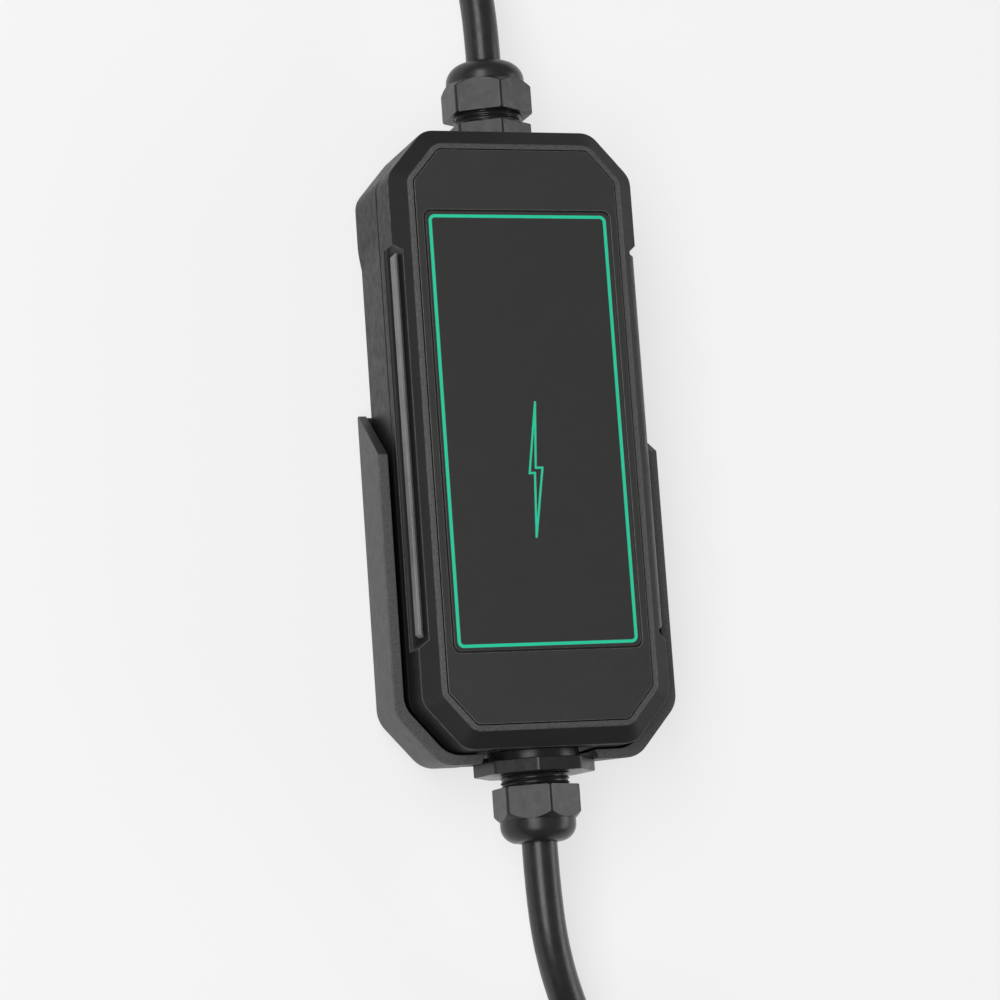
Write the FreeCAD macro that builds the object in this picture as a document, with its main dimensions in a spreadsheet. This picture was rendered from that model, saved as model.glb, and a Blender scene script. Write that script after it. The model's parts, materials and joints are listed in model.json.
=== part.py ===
import FreeCAD, Part

import math
import os
from types import SimpleNamespace

import Sketcher

Vector = FreeCAD.Vector

# Frame: X across the box, Y along it towards the mains gland, Z out of its front.
# The back of the wall holder lies on Z = 0 and the box is centred on X = Y = 0.

SIZES = {
    # Housing
    "box_width": 90.6,
    "box_length": 218,
    "corner_leg_x": 14.1,
    "corner_leg_y": 16.4,
    "corner_round": 8,
    "wall": 3,
    "back_round": 4,
    "shell_depth": 29.4,
    "cover_side": 14.5,
    "slope_inset": 6,
    "slope_depth": 4.6,
    "slope_round": 5,
    "bevel_inset": 1.8,
    "bevel_depth": 0.5,
    "bevel_round": 2.5,
    "front_wall": 1.5,
    "cavity_step": 3.9,
    "cavity_step_inset": 5.8,
    # Grip recesses in the sides
    "waist_depth": 3.1,
    "waist_floor": 4.1,
    "waist_top": 67.8,
    "waist_bottom": 73.5,
    "waist_ramp": 2.5,
    "rib_reach": 2.4,
    "rib_thickness": 1.2,
    "rib_bottom": 9.3,
    "rib_height": 4.3,
    "rib_foot": 2,
    "rib_top_gap": 0.1,
    "rib_bottom_gap": 1.5,
    "rib_chamfer": 1,
    "wedge_depth": 1.75,
    "wedge_top": 76.6,
    "wedge_bottom": 74,
    "wedge_ramp": 8.2,
    # End tongues and the seal between the shells
    "tongue_width": 34,
    "tongue_height": 10,
    "seal_inset": 0.8,
    "seal_width": 1.4,
    "seal_depth": 0.8,
    # Front panel, window and light figures
    "panel_gap": 0.35,
    "panel_thickness": 2,
    "window_side": 10.7,
    "window_upper_end": 29.8,
    "window_lower_end": 32.7,
    "window_round": 2.7,
    "window_gap": 0.6,
    "window_thickness": 1.2,
    "window_ledge": 4,
    "light_inset": 1.75,
    "light_width": 1.1,
    "light_depth": 0.5,
    "light_round": 2.3,
    "bolt_width": 0.7,
    "bolt_scale": 1,
    # Screws of the housing
    "screw_side": 8.3,
    "screw_end": 25,
    "pillar_diameter": 7.4,
    "screw_diameter": 3,
    "screw_length": 34,
    "screw_head_diameter": 5.5,
    "screw_head_height": 2.2,
    "screw_recess": 2.6,
    "screw_clearance": 0.2,
    "thread_gap": 0.05,
    # Boards
    "board_side": 12.3,
    "board_length": 152,
    "board_thickness": 1.6,
    "board_lift": 6,
    "board_screw_side": 4.5,
    "board_screw_end": 5,
    "board_screw_diameter": 2.2,
    "board_screw_length": 6,
    "board_screw_head": 4.4,
    "board_pillar": 6,
    "display_side": 10.3,
    "display_end": 42,
    "display_gap": 1.3,
    "display_post_side": 2,
    "display_post_end": 5,
    "display_post": 3.6,
    "display_pin": 2,
    "led_width": 2.8,
    "led_height": 0.8,
    "led_side": 8,
    "led_pitch": 18,
    # Parts on the main board
    "relay_width": 16,
    "relay_length": 29,
    "relay_height": 25,
    "relay_x": 16,
    "relay_end": 44,
    "sensor_diameter": 24,
    "sensor_bore": 12,
    "sensor_height": 11,
    "sensor_x": -17,
    "sensor_end": 31,
    "transformer_width": 22,
    "transformer_length": 24,
    "transformer_height": 20,
    "transformer_x": 12,
    "transformer_y": 8,
    "core_overhang": 3,
    "capacitor_diameter": 10,
    "capacitor_height": 21,
    "capacitor_side": 13,
    "capacitor_pitch": 11.5,
    "terminal_height": 13,
    "terminal_depth": 12,
    "terminal_pitch": 8,
    "terminal_margin": 2,
    "terminal_hole": 3.8,
    "terminal_hole_height": 7,
    "terminal_screw_setback": 7.2,
    "terminal_edge": 4,
    "chip_size": 10,
    "chip_height": 1.6,
    "chip_pitch": 20,
    "chip_end": 23,
    "fuse_diameter": 5.2,
    "fuse_length": 20,
    "fuse_x": 12,
    "fuse_end": 34,
    "fuse_clip": 1.2,
    "link_side": 3,
    "link_y": 2,
    "link_length": 22,
    "link_thickness": 2.5,
    # Wall holder
    "plate": 3,
    "holder_back_side": 4,
    "holder_rim_side": 6.7,
    "holder_wall_back": 3.5,
    "holder_wall_rim": 3.9,
    "holder_back_foot": 2.5,
    "holder_rim_foot": 4,
    "holder_foot_back_wall": 2.2,
    "holder_foot_rim_wall": 3.5,
    "holder_height": 35.6,
    "holder_back_round": 6,
    "holder_corner_round": 10,
    "wing_back_end": 15,
    "wing_rim_end": -4.2,
    "notch_inner": 38,
    "notch_outer": 45,
    "notch_floor": 5.5,
    "mount_x": 50,
    "mount_y": 80,
    "mount_shift": -40,
    "mount_hole": 4.5,
    "mount_head": 8,
    # Cable glands
    "gland_height": 27.5,
    "gland_thread": 24.4,
    "gland_clearance": 0.15,
    "gland_bore": 13.4,
    "gland_inner_reach": 9,
    "gland_seal_diameter": 18.6,
    "gland_seal_length": 8,
    "gland_seal_proud": 1,
    "gland_engagement": 7,
    "gland_dome_round": 7,
    "gland_nut_chamfer": 2.2,
    "locknut_flats": 27.4,
    "locknut_depth": 5,
    "mains_flange_flats": 27.4,
    "mains_flange_depth": 6.4,
    "mains_nut_flats": 28.8,
    "mains_nut_start": 10.2,
    "mains_nut_hex": 11.8,
    "mains_dome": 8,
    "vehicle_washer_diameter": 32,
    "vehicle_washer_depth": 3.2,
    "vehicle_flange_flats": 39.5,
    "vehicle_flange_depth": 4.7,
    "vehicle_nut_flats": 27.2,
    "vehicle_nut_start": 12.2,
    "vehicle_nut_hex": 11.4,
    "vehicle_dome": 7.9,
    # Cables
    "cable_diameter": 12.5,
    "cable_gap": 0.05,
    "lead_end": 15,
    "core_diameter": 2.9,
    "core_pitch": 3.1,
    "core_straight": 6,
    "coil_width": 112.5,
    "coil_flat": 0.5,
    "coil_columns": 2,
    "vehicle_coil_layers": 4,
    "mains_coil_layers": 1,
    "vehicle_coil_run": 110,
    "mains_coil_run": 50,
    "tie_width": 20,
    "tie_thickness": 1.5,
    # Plug
    "plug_diameter": 37,
    "plug_length": 34,
    "plug_round": 8,
    "pin_diameter": 4.8,
    "pin_length": 19,
    "pin_pitch": 19,
    "pin_root": 6,
    "relief_length": 34,
    "relief_base": 20,
    "relief_tip": 15.5,
    # Vehicle connector
    "nose_diameter": 43,
    "nose_length": 33,
    "nose_spigot": 19,
    "nose_spigot_length": 12,
    "nose_groove_outer": 38.6,
    "nose_groove_inner": 35,
    "nose_groove_depth": 27,
    "connector_wall": 3,
    "connector_edge": 9,
    "handle_round": 8,
    "handle_side_wall": 4.5,
    "body_top": 24,
    "body_bottom": 23,
    "body_length": 46,
    "body_heel": 25.3,
    "grip_root": 36.8,
    "grip_length": 88,
    "grip_half_width": 17,
    "power_circle": 16.8,
    "signal_circle": 22.4,
    "earth_drop": 9.7,
    "contact_large": 5.2,
    "contact_small": 3.1,
    "contact_depth": 26,
    "contact_wall": 0.8,
    "channel_width": 12,
    "channel_depth": 11,
    "channel_length": 44,
    "lever_width": 10.6,
    "lever_height": 5,
    "lever_lift": 6.2,
    "hook_reach": 26,
    "hook_drop": 2.6,
    "sheath_inside": 24,
    "wire_diameter": 3,
    "wire_circle": 7,
    "wire_straight": 15,
    "latch_x": -16,
    "latch_pin": 3,
    "latch_pin_seat": 2.4,
    "latch_boss": 3.2,
    "thumb_length": 14,
    "thumb_rise": 3.4,
    "spring_diameter": 5.4,
    "spring_width": 3.6,
    "spring_slot": 4.2,
}

# Where the folded cables, the plug's cable end and the connector's nose lie, seen from above.
MAINS_COIL_CENTRE = (0, 330.3)
VEHICLE_COIL_CENTRE = (0, -335)
PLUG_PLACE = (37.75, 318)
CONNECTOR_PLACE = (12.6, -442.87)
CONNECTOR_TURN = 240

# Routes of the free cables: out of each gland and down to its coil, and from the coil
# in a wide turn onto it, to what is on its end.
MAINS_ROUTE = [
    (0, 139, 27.5), (0, 160, 27.5), (-1, 184, 19.5), (0.5, 207, 10.5), (11, 229, 6.4), (25, 248.5, 6.25),
    (35, 266, 6.25),
]
PLUG_ROUTE = [
    (-37.5, 352, 12), (-37.5, 330, 18.8), (-37.5, 273, 21), (0.1, 251.3, 27), (37.75, 273, 31),
    (37.75, 318, 31),
]
VEHICLE_ROUTE = [
    (0, -140.5, 27.5), (0, -160, 27.5), (4.3, -182.5, 22), (14, -204, 12.4), (26, -224.8, 6.8),
    (36.5, -243, 6.25),
]
CONNECTOR_ROUTE = [
    (-50, -318, 43.75), (-50, -290, 43.75), (-50, -244.6, 48), (-9.5, -221.2, 59), (31, -244.6, 71.5),
    (31, -289, 71.5),
]

# The bolt figure on the window: a thin closed outline, in mm from the box's centre.
BOLT_CORNERS = [(1.4, 10.6), (-0.1, -12.6), (2.4, -12.5), (-1.6, -36.8), (-0.5, -14.3), (-2.45, -14.5)]

# Directions, in degrees: the glands' flats, the grip's slope to the connector's nose, and
# the nose's power and signal contacts.
FLANGE_TURN = 76
CORNER_UP = 90
GRIP_ANGLE = 30
POWER_TURNS = (45, 135)
SIGNAL_TURNS = (-12, 192)

# Share of the shorter of two runs of a cable's route that the bend between them takes.
ARC_SHARE = 0.45

# Share of the holder's spread at its sides that its corner legs grow by.
LEG_GROWTH = 0.25


class Length:
    """A length in mm, with the formula that works it out from the sheet."""

    def __init__(self, value, formula):
        self.value = float(value)
        self.formula = formula

    def __add__(self, other):
        other = as_length(other)
        return Length(self.value + other.value, f"({self.formula} + {other.formula})")

    def __sub__(self, other):
        other = as_length(other)
        return Length(self.value - other.value, f"({self.formula} - {other.formula})")

    def __mul__(self, other):
        other = as_length(other)
        return Length(self.value * other.value, f"({self.formula} * {other.formula})")

    def __truediv__(self, other):
        other = as_length(other)
        return Length(self.value / other.value, f"({self.formula} / {other.formula})")

    def __neg__(self):
        return Length(-self.value, f"(0 - {self.formula})")

    def __radd__(self, other):
        return as_length(other) + self

    def __rsub__(self, other):
        return as_length(other) - self

    def __rmul__(self, other):
        return as_length(other) * self


def as_length(item):
    if isinstance(item, Length):
        return item
    return Length(item, f"({float(item)})")


def hypotenuse(a, b):
    return Length(math.hypot(a.value, b.value), f"hypot({a.formula}; {b.formula})")


def turned(radius, degrees):
    """The (x, y) of a point at a radius and an angle from +X."""
    angle = math.radians(degrees)
    return radius * math.cos(angle), radius * math.sin(angle)


doc = FreeCAD.newDocument("charger")
sheet = doc.addObject("Spreadsheet::Sheet", "Sizes")
for row, (alias, size) in enumerate(SIZES.items(), start=1):
    sheet.set(f"A{row}", alias)
    sheet.set(f"B{row}", str(size))
    sheet.setAlias(f"B{row}", alias)
doc.recompute()
mm = SimpleNamespace(**{alias: Length(sheet.get(alias), f"Sizes.{alias}") for alias in SIZES})
nodes = []


# Helpers for sketches and features


def bind(item, name, length):
    item.setExpression(name, as_length(length).formula)


def keep(item, label):
    """List an object as one of the part's nodes."""
    item.Label = label
    nodes.append(item)
    return item


def new_body(label):
    body = doc.addObject("PartDesign::Body", label + "_body")
    doc.recompute()
    return body


def new_sketch(body, plane, offset=0):
    """A sketch on one of a body's own planes, moved along the plane's normal."""
    item = body.newObject("Sketcher::SketchObject", f"{body.Name}_sketch")
    support = [feature for feature in body.Origin.OriginFeatures if feature.Role == plane][0]
    item.AttachmentSupport = [(support, "")]
    item.MapMode = "FlatFace"
    bind(item, "AttachmentOffset.Base.z", offset)
    return item


def constrain(item, *facts, length=None):
    if length is None:
        item.addConstraint(Sketcher.Constraint(*facts))
        return
    index = item.addConstraint(Sketcher.Constraint(*facts, length.value))
    item.setExpression(f"Constraints[{index}]", length.formula)


def place_point(item, geometry, position, point):
    """Hold a sketch point at (x, y), with the formulas of both."""
    for axis, name, coordinate in ((-2, "DistanceX", point[0]), (-1, "DistanceY", point[1])):
        if isinstance(coordinate, Length):
            constrain(item, name, -1, 1, geometry, position, length=coordinate)
        elif coordinate == 0:
            constrain(item, "PointOnObject", geometry, position, axis)
        else:
            constrain(item, name, -1, 1, geometry, position, length=as_length(coordinate))


def add_outline(item, corners, round_sizes=None):
    """A closed outline of lines, with tangent arcs at the corners that have a round."""
    count = len(corners)
    if round_sizes is None or isinstance(round_sizes, Length):
        round_sizes = [round_sizes] * count
    flat = [Vector(as_length(x).value, as_length(y).value, 0) for x, y in corners]
    before, after = [], []
    for index, point in enumerate(flat):
        towards_last = (flat[index - 1] - point).normalize()
        towards_next = (flat[(index + 1) % count] - point).normalize()
        cut = 0
        if round_sizes[index] is not None:
            cut = round_sizes[index].value / math.tan(towards_last.getAngle(towards_next) / 2)
        before.append(point + towards_last * cut)
        after.append(point + towards_next * cut)
    lines = [
        item.addGeometry(Part.LineSegment(after[index], before[(index + 1) % count]), False)
        for index in range(count)
    ]
    for index, corner in enumerate(corners):
        last_line = lines[index - 1]
        next_line = lines[index]
        if round_sizes[index] is None:
            constrain(item, "Coincident", last_line, 2, next_line, 1)
            place_point(item, next_line, 1, corner)
            continue
        ends = (before[index], after[index])
        add_corner_arc(item, flat[index], ends, round_sizes[index], last_line, next_line)
        point = item.addGeometry(Part.Point(flat[index]), True)
        constrain(item, "PointOnObject", point, 1, last_line)
        constrain(item, "PointOnObject", point, 1, next_line)
        place_point(item, point, 1, corner)


def add_corner_arc(item, corner, ends, radius, last_line, next_line):
    middle = (ends[0] + ends[1]) * 0.5
    outwards = middle - corner
    reach = math.hypot(radius.value, (ends[0] - corner).Length)
    centre = corner + outwards.normalize() * reach
    through = centre - outwards * radius.value
    arc_curve = Part.Arc(ends[0], through, ends[1])
    arc = item.addGeometry(arc_curve, False)
    to_start, to_end = [item.getPoint(arc, end).distanceToPoint(ends[0]) for end in (1, 2)]
    first, second = (1, 2) if to_start < to_end else (2, 1)
    constrain(item, "Tangent", last_line, 2, arc, first)
    constrain(item, "Tangent", arc, second, next_line, 1)
    constrain(item, "Radius", arc, length=radius)


def add_circle(item, centre, radius):
    flat = Vector(as_length(centre[0]).value, as_length(centre[1]).value, 0)
    circle = item.addGeometry(Part.Circle(flat, Vector(0, 0, 1), radius.value), False)
    place_point(item, circle, 3, centre)
    constrain(item, "Radius", circle, length=radius)


def outline_sketch(body, plane, offset, corners, round_sizes=None):
    item = new_sketch(body, plane, offset)
    add_outline(item, corners, round_sizes)
    return item


def circle_sketch(body, plane, offset, centres, radius):
    item = new_sketch(body, plane, offset)
    for centre in centres:
        add_circle(item, centre, radius)
    return item


def extrude(kind, body, profile, length, reverse=False):
    """Pad or pocket a sketch by a length, or right through where there is none."""
    feature = body.newObject(f"PartDesign::{kind}", f"{body.Name}_{kind.lower()}")
    feature.Profile = profile
    feature.Reversed = reverse
    if length is None:
        feature.Type = 1
        return feature
    bind(feature, "Length", length)
    return feature


def pad(body, profile, length, reverse=False):
    return extrude("Pad", body, profile, length, reverse)


def pocket(body, profile, length, reverse=False):
    return extrude("Pocket", body, profile, length, reverse)


def loft(body, first, others, subtractive=False):
    kind = "SubtractiveLoft" if subtractive else "AdditiveLoft"
    feature = body.newObject(f"PartDesign::{kind}", f"{body.Name}_loft")
    feature.Profile = first
    feature.Sections = others
    feature.Ruled = True
    return feature


def revolve(body, profile, subtractive=False):
    """Turn a profile, drawn as (radius, Z), about Z."""
    kind = "Groove" if subtractive else "Revolution"
    feature = body.newObject(f"PartDesign::{kind}", f"{body.Name}_turned")
    feature.Profile = profile
    feature.ReferenceAxis = (profile, ["V_Axis"])
    feature.Angle = 360
    return feature


def dress(kind, body, base, test, length):
    """Fillet or chamfer the edges of a feature that pass a test."""
    doc.recompute()
    names = [f"Edge{index}" for index, edge in enumerate(base.Shape.Edges, start=1) if test(edge)]
    feature = body.newObject(f"PartDesign::{kind}", f"{body.Name}_{kind.lower()}")
    feature.Base = (base, names)
    bind(feature, "Radius" if kind == "Fillet" else "Size", length)
    return feature


def finish_body(body, label, last=None):
    if last is not None:
        body.Tip = last
    return keep(body, label)


def flat_at(z):
    """Test for edges that lie in the plane at height z."""
    return lambda edge: abs(edge.BoundBox.ZMin - z.value) < 1e-4 and abs(edge.BoundBox.ZMax - z.value) < 1e-4


def boolean(kind, label, base, tool):
    item = doc.addObject(f"Part::{kind}", label + "_" + kind.lower())
    item.Base = base
    item.Tool = tool
    return item


def fuse(label, pieces):
    item = doc.addObject("Part::MultiFuse", label + "_fuse")
    item.Shapes = pieces
    return item


def group(label, pieces):
    """Separate solids that share one node."""
    item = doc.addObject("Part::Compound", label + "_group")
    item.Links = pieces
    return keep(item, label)


def box(label, low, size):
    """A block given by its lowest corner and its sizes."""
    item = doc.addObject("Part::Box", label + "_box")
    for name, length in zip(("Length", "Width", "Height"), size):
        bind(item, name, length)
    move(item, low)
    return item


def cylinder(label, base, radius, height):
    item = doc.addObject("Part::Cylinder", label + "_cylinder")
    bind(item, "Radius", radius)
    bind(item, "Height", height)
    move(item, base)
    return item


def move(item, place, axis=None, degrees=0):
    if axis is not None:
        item.Placement = FreeCAD.Placement(Vector(0, 0, 0), FreeCAD.Rotation(axis, degrees))
    for name, length in zip("xyz", place):
        bind(item, f"Placement.Base.{name}", length)


# Places that several pieces share

half_width = mm.box_width / 2
half_length = mm.box_length / 2
back = mm.plate
inner_back = back + mm.wall
parting = back + mm.shell_depth
cover_edge = parting + mm.cover_side
slope_top = cover_edge + mm.slope_depth
front = slope_top + mm.bevel_depth
panel_back = front - mm.panel_thickness
front_inside = panel_back - mm.front_wall
cavity_shoulder = front_inside - mm.cavity_step
panel_inset = mm.slope_inset + mm.bevel_inset
corner_slant = hypotenuse(mm.corner_leg_x, mm.corner_leg_y)
board_bottom = inner_back + mm.board_lift
board_top = board_bottom + mm.board_thickness
display_top = front_inside - mm.display_gap
display_bottom = display_top - mm.board_thickness
board_half_width = half_width - mm.board_side
board_half_length = mm.board_length / 2
relay_top = mm.relay_end + mm.relay_length / 2 - board_half_length
sensor_y = board_half_length - mm.sensor_end
display_half_width = half_width - mm.display_side
display_half_length = half_length - mm.display_end
window_half = half_width - mm.window_side
window_top = half_length - mm.window_upper_end
window_bottom = half_length - mm.window_lower_end
waist_side = half_width - mm.waist_depth
cable_radius = mm.cable_diameter / 2
thread_radius = mm.gland_thread / 2


def octagon(inset, foot=None):
    """Corners of the housing's outline moved in by an inset, or another at its lower end."""
    loss = mm.corner_leg_x + mm.corner_leg_y - corner_slant
    x = half_width - inset
    top = half_length - inset
    foot_inset = inset if foot is None else foot
    bottom = half_length - foot_inset
    leg_x = mm.corner_leg_x - inset * loss / mm.corner_leg_y
    leg_y = mm.corner_leg_y - inset * loss / mm.corner_leg_x
    return [
        (x, top - leg_y), (x - leg_x, top), (leg_x - x, top), (-x, top - leg_y),
        (-x, leg_y - bottom), (leg_x - x, -bottom), (x - leg_x, -bottom), (x, leg_y - bottom),
    ]


def rectangle(left, right, bottom, top):
    return [(right, top), (left, top), (left, bottom), (right, bottom)]


def both_sides(x, y):
    """The four places (±x, ±y)."""
    return [(x, y), (-x, y), (-x, -y), (x, -y)]


def regular(sides, flats, turn):
    radius = flats / 2 / math.cos(math.pi / sides)
    return [turned(radius, turn + 360 * step / sides) for step in range(sides)]


screw_places = both_sides(half_width - mm.screw_side, half_length - mm.screw_end)
board_screw_places = both_sides(
    board_half_width - mm.board_screw_side, board_half_length - mm.board_screw_end)
display_post_places = both_sides(
    display_half_width - mm.display_post_side, display_half_length - mm.display_post_end)


# Housing


def make_rear_shell():
    body = new_body("rear_shell")
    block = pad(body, outline_sketch(body, "XY_Plane", back, octagon(0), mm.corner_round), mm.shell_depth)
    dress("Fillet", body, block, flat_at(back), mm.back_round)
    cavity = outline_sketch(body, "XY_Plane", parting, octagon(mm.wall), mm.slope_round)
    pocket(body, cavity, parting - inner_back)
    for side in (-1, 1):
        cut_wedge(body, side)
    groove = new_sketch(body, "XY_Plane", parting)
    add_outline(groove, octagon(mm.seal_inset), mm.corner_round)
    add_outline(groove, octagon(mm.seal_inset + mm.seal_width), mm.slope_round)
    pocket(body, groove, mm.seal_depth)
    tongues = new_sketch(body, "XY_Plane", parting - mm.seal_depth)
    for low, high in ((half_length - mm.wall, half_length), (-half_length, mm.wall - half_length)):
        add_outline(tongues, rectangle(-mm.tongue_width / 2, mm.tongue_width / 2, low, high))
    pad(body, tongues, mm.seal_depth + mm.tongue_height)
    pad(body, circle_sketch(body, "XY_Plane", inner_back, screw_places, mm.pillar_diameter / 2),
        parting - inner_back)
    pad(body, circle_sketch(body, "XY_Plane", inner_back, board_screw_places, mm.board_pillar / 2),
        mm.board_lift)
    clear_radius = mm.screw_diameter / 2 + mm.screw_clearance
    pocket(body, circle_sketch(body, "XY_Plane", back, screw_places, clear_radius), mm.shell_depth,
           reverse=True)
    head_radius = mm.screw_head_diameter / 2 + mm.screw_clearance
    pocket(body, circle_sketch(body, "XY_Plane", back, screw_places, head_radius), mm.screw_recess,
           reverse=True)
    pilot = mm.board_screw_diameter / 2 + mm.thread_gap
    pocket(body, circle_sketch(body, "XY_Plane", board_bottom, board_screw_places, pilot),
           mm.board_screw_length)
    gland_hole = circle_sketch(body, "XZ_Plane", half_length, [(0, mm.gland_height)],
                               thread_radius + mm.gland_clearance)
    last = pocket(body, gland_hole, None)
    return finish_body(body, "rear_shell", last)


def cut_wedge(body, side):
    """Take the side in towards the back, as a hand grip behind the recess."""
    sections = []
    outside = half_width + mm.wall
    for height, depth in ((back, mm.wedge_depth), (parting, as_length(0))):
        inner = half_width - depth
        corners = [
            (side * half_width, mm.wedge_top),
            (side * inner, mm.wedge_top - mm.wedge_ramp),
            (side * inner, mm.wedge_ramp - mm.wedge_bottom),
            (side * half_width, -mm.wedge_bottom),
            (side * outside, -mm.wedge_bottom),
            (side * outside, mm.wedge_top),
        ]
        sections.append(outline_sketch(body, "XY_Plane", height, corners))
    loft(body, sections[0], sections[1:], subtractive=True)


def waisted_octagon():
    """The cover's inner outline, which keeps its wall behind the side recesses."""
    corners = octagon(mm.wall)
    inner = waist_side - mm.wall
    top = mm.waist_top + mm.wall
    bottom = -(mm.waist_bottom + mm.wall)
    wide = half_width - mm.wall
    right = [(wide, bottom), (inner, bottom + mm.waist_ramp), (inner, top - mm.waist_ramp), (wide, top)]
    left = [(-x, y) for x, y in reversed(right)]
    return corners[:4] + left + corners[4:] + right


def make_front_cover(seal):
    body = new_body("front_cover")
    pad(body, outline_sketch(body, "XY_Plane", parting, octagon(0), mm.corner_round), mm.cover_side)
    edge = outline_sketch(body, "XY_Plane", cover_edge, octagon(0), mm.corner_round)
    slope = outline_sketch(body, "XY_Plane", slope_top, octagon(mm.slope_inset), mm.slope_round)
    loft(body, edge, [slope])
    bevel_foot = outline_sketch(body, "XY_Plane", slope_top, octagon(mm.slope_inset), mm.slope_round)
    bevel = outline_sketch(body, "XY_Plane", front, octagon(panel_inset), mm.bevel_round)
    loft(body, bevel_foot, [bevel])
    pocket(body, outline_sketch(body, "XY_Plane", front, octagon(panel_inset), mm.bevel_round),
           mm.panel_thickness)
    pocket(body, outline_sketch(body, "XY_Plane", panel_back, window_opening()), mm.front_wall)
    pocket(body, outline_sketch(body, "XY_Plane", parting, waisted_octagon()),
           cavity_shoulder - parting, reverse=True)
    upper = octagon(mm.wall + mm.cavity_step_inset)
    pocket(body, outline_sketch(body, "XY_Plane", parting, upper), front_inside - parting, reverse=True)
    recess = new_sketch(body, "XY_Plane", front)
    for side in (-1, 1):
        add_outline(recess, recess_corners(side))
    pocket(body, recess, front - parting - mm.waist_floor)
    notches = new_sketch(body, "XY_Plane", parting)
    for low, high in ((half_length - mm.wall, half_length + mm.wall),
                      (-half_length - mm.wall, mm.wall - half_length)):
        add_outline(notches, rectangle(-mm.tongue_width / 2, mm.tongue_width / 2, low, high))
    pocket(body, notches, mm.tongue_height, reverse=True)
    pad(body, circle_sketch(body, "XY_Plane", parting, screw_places, mm.pillar_diameter / 2),
        front_inside - parting)
    pilot = circle_sketch(body, "XY_Plane", parting, screw_places, mm.screw_diameter / 2 + mm.thread_gap)
    pocket(body, pilot, back + mm.screw_recess + mm.screw_length - parting, reverse=True)
    pad(body, circle_sketch(body, "XY_Plane", display_top, display_post_places, mm.display_post / 2),
        mm.display_gap)
    last = pad(body, circle_sketch(body, "XY_Plane", display_bottom, display_post_places, mm.display_pin / 2),
               mm.board_thickness)
    body.Tip = last
    return keep(boolean("Cut", "front_cover", body, seal), "front_cover")


def recess_corners(side):
    """Plan of one side recess, drawn past the housing's side."""
    slope = mm.waist_ramp / mm.waist_depth
    outside = half_width + mm.wall
    past = slope * mm.wall
    top = mm.waist_top
    bottom = -mm.waist_bottom
    return [
        (side * waist_side, top - mm.waist_ramp),
        (side * outside, top + past),
        (side * outside, bottom - past),
        (side * waist_side, bottom + mm.waist_ramp),
    ]


def make_side_rib(side, label):
    """A thin rib that stands in the side recess on a foot, clear of the recess's floor above it."""
    body = new_body(label)
    outer = waist_side + mm.rib_reach
    inner = outer - mm.rib_thickness
    top = mm.waist_top - mm.waist_ramp - mm.rib_top_gap
    bottom = mm.waist_ramp + mm.rib_bottom_gap - mm.waist_bottom
    wall = [
        (side * inner, bottom), (side * inner, top),
        (side * outer, top - mm.rib_chamfer), (side * outer, bottom + mm.rib_chamfer),
    ]
    foot = [
        (side * waist_side, bottom), (side * waist_side, top), (side * inner, top), (side * inner, bottom),
    ]
    pad(body, outline_sketch(body, "XY_Plane", parting + mm.rib_bottom, wall), mm.rib_height)
    last = pad(body, outline_sketch(body, "XY_Plane", parting + mm.rib_bottom, foot), mm.rib_foot)
    return finish_body(body, label, last)


def make_housing_seal():
    """A ring in the rear shell's groove that steps over both end tongues."""
    body = new_body("housing_seal")
    ring = new_sketch(body, "XY_Plane", parting - mm.seal_depth)
    add_outline(ring, octagon(mm.seal_inset), mm.corner_round)
    add_outline(ring, octagon(mm.seal_inset + mm.seal_width), mm.slope_round)
    pad(body, ring, mm.seal_depth)
    inner = mm.tongue_width / 2
    gaps = new_sketch(body, "XY_Plane", parting)
    for low, high in ((half_length - mm.wall, half_length), (-half_length, mm.wall - half_length)):
        add_outline(gaps, rectangle(-inner, inner, low, high))
    pocket(body, gaps, mm.seal_depth)
    outer = inner + mm.seal_width
    foot = parting - mm.seal_depth
    tongue_top = parting + mm.tongue_height
    bridge = [
        (-outer, foot), (-outer, tongue_top + mm.seal_depth), (outer, tongue_top + mm.seal_depth),
        (outer, foot), (inner, foot), (inner, tongue_top), (-inner, tongue_top), (-inner, foot),
    ]
    outside = half_length - mm.seal_inset
    for offset, reverse in ((-outside, False), (outside, True)):
        last = pad(body, outline_sketch(body, "XZ_Plane", offset, bridge), mm.seal_width, reverse)
    return finish_body(body, "housing_seal", last)


def make_cover_screws():
    screws = []
    head_base = back + mm.screw_recess - mm.screw_head_height
    for x, y in screw_places:
        head = cylinder("screw_head", (x, y, head_base), mm.screw_head_diameter / 2, mm.screw_head_height)
        foot = (x, y, back + mm.screw_recess)
        shank = cylinder("screw_shank", foot, mm.screw_diameter / 2, mm.screw_length)
        screws.append(fuse("screw", [head, shank]))
    return group("cover_screws", screws)


# Front panel


def window_opening():
    reach = window_half - mm.window_ledge
    return rectangle(-reach, reach, mm.window_ledge - window_bottom, window_top - mm.window_ledge)


def window_outline(inset):
    reach = window_half - inset
    return rectangle(-reach, reach, inset - window_bottom, window_top - inset)


def make_front_panel():
    body = new_body("front_panel")
    plan = octagon(panel_inset + mm.panel_gap)
    pad(body, outline_sketch(body, "XY_Plane", panel_back, plan, mm.bevel_round), mm.panel_thickness)
    pocket(body, outline_sketch(body, "XY_Plane", front, window_outline(as_length(0)), mm.window_round),
           mm.window_thickness)
    last = pocket(body, outline_sketch(body, "XY_Plane", front, window_opening()), mm.panel_thickness)
    return finish_body(body, "front_panel", last)


def make_light_frame():
    body = new_body("light_frame")
    ring = new_sketch(body, "XY_Plane", front - mm.light_depth)
    add_outline(ring, window_outline(mm.light_inset), mm.light_round)
    add_outline(ring, window_outline(mm.light_inset + mm.light_width), mm.light_round - mm.light_width)
    last = pad(body, ring, mm.light_depth)
    return finish_body(body, "light_frame", last)


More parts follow.
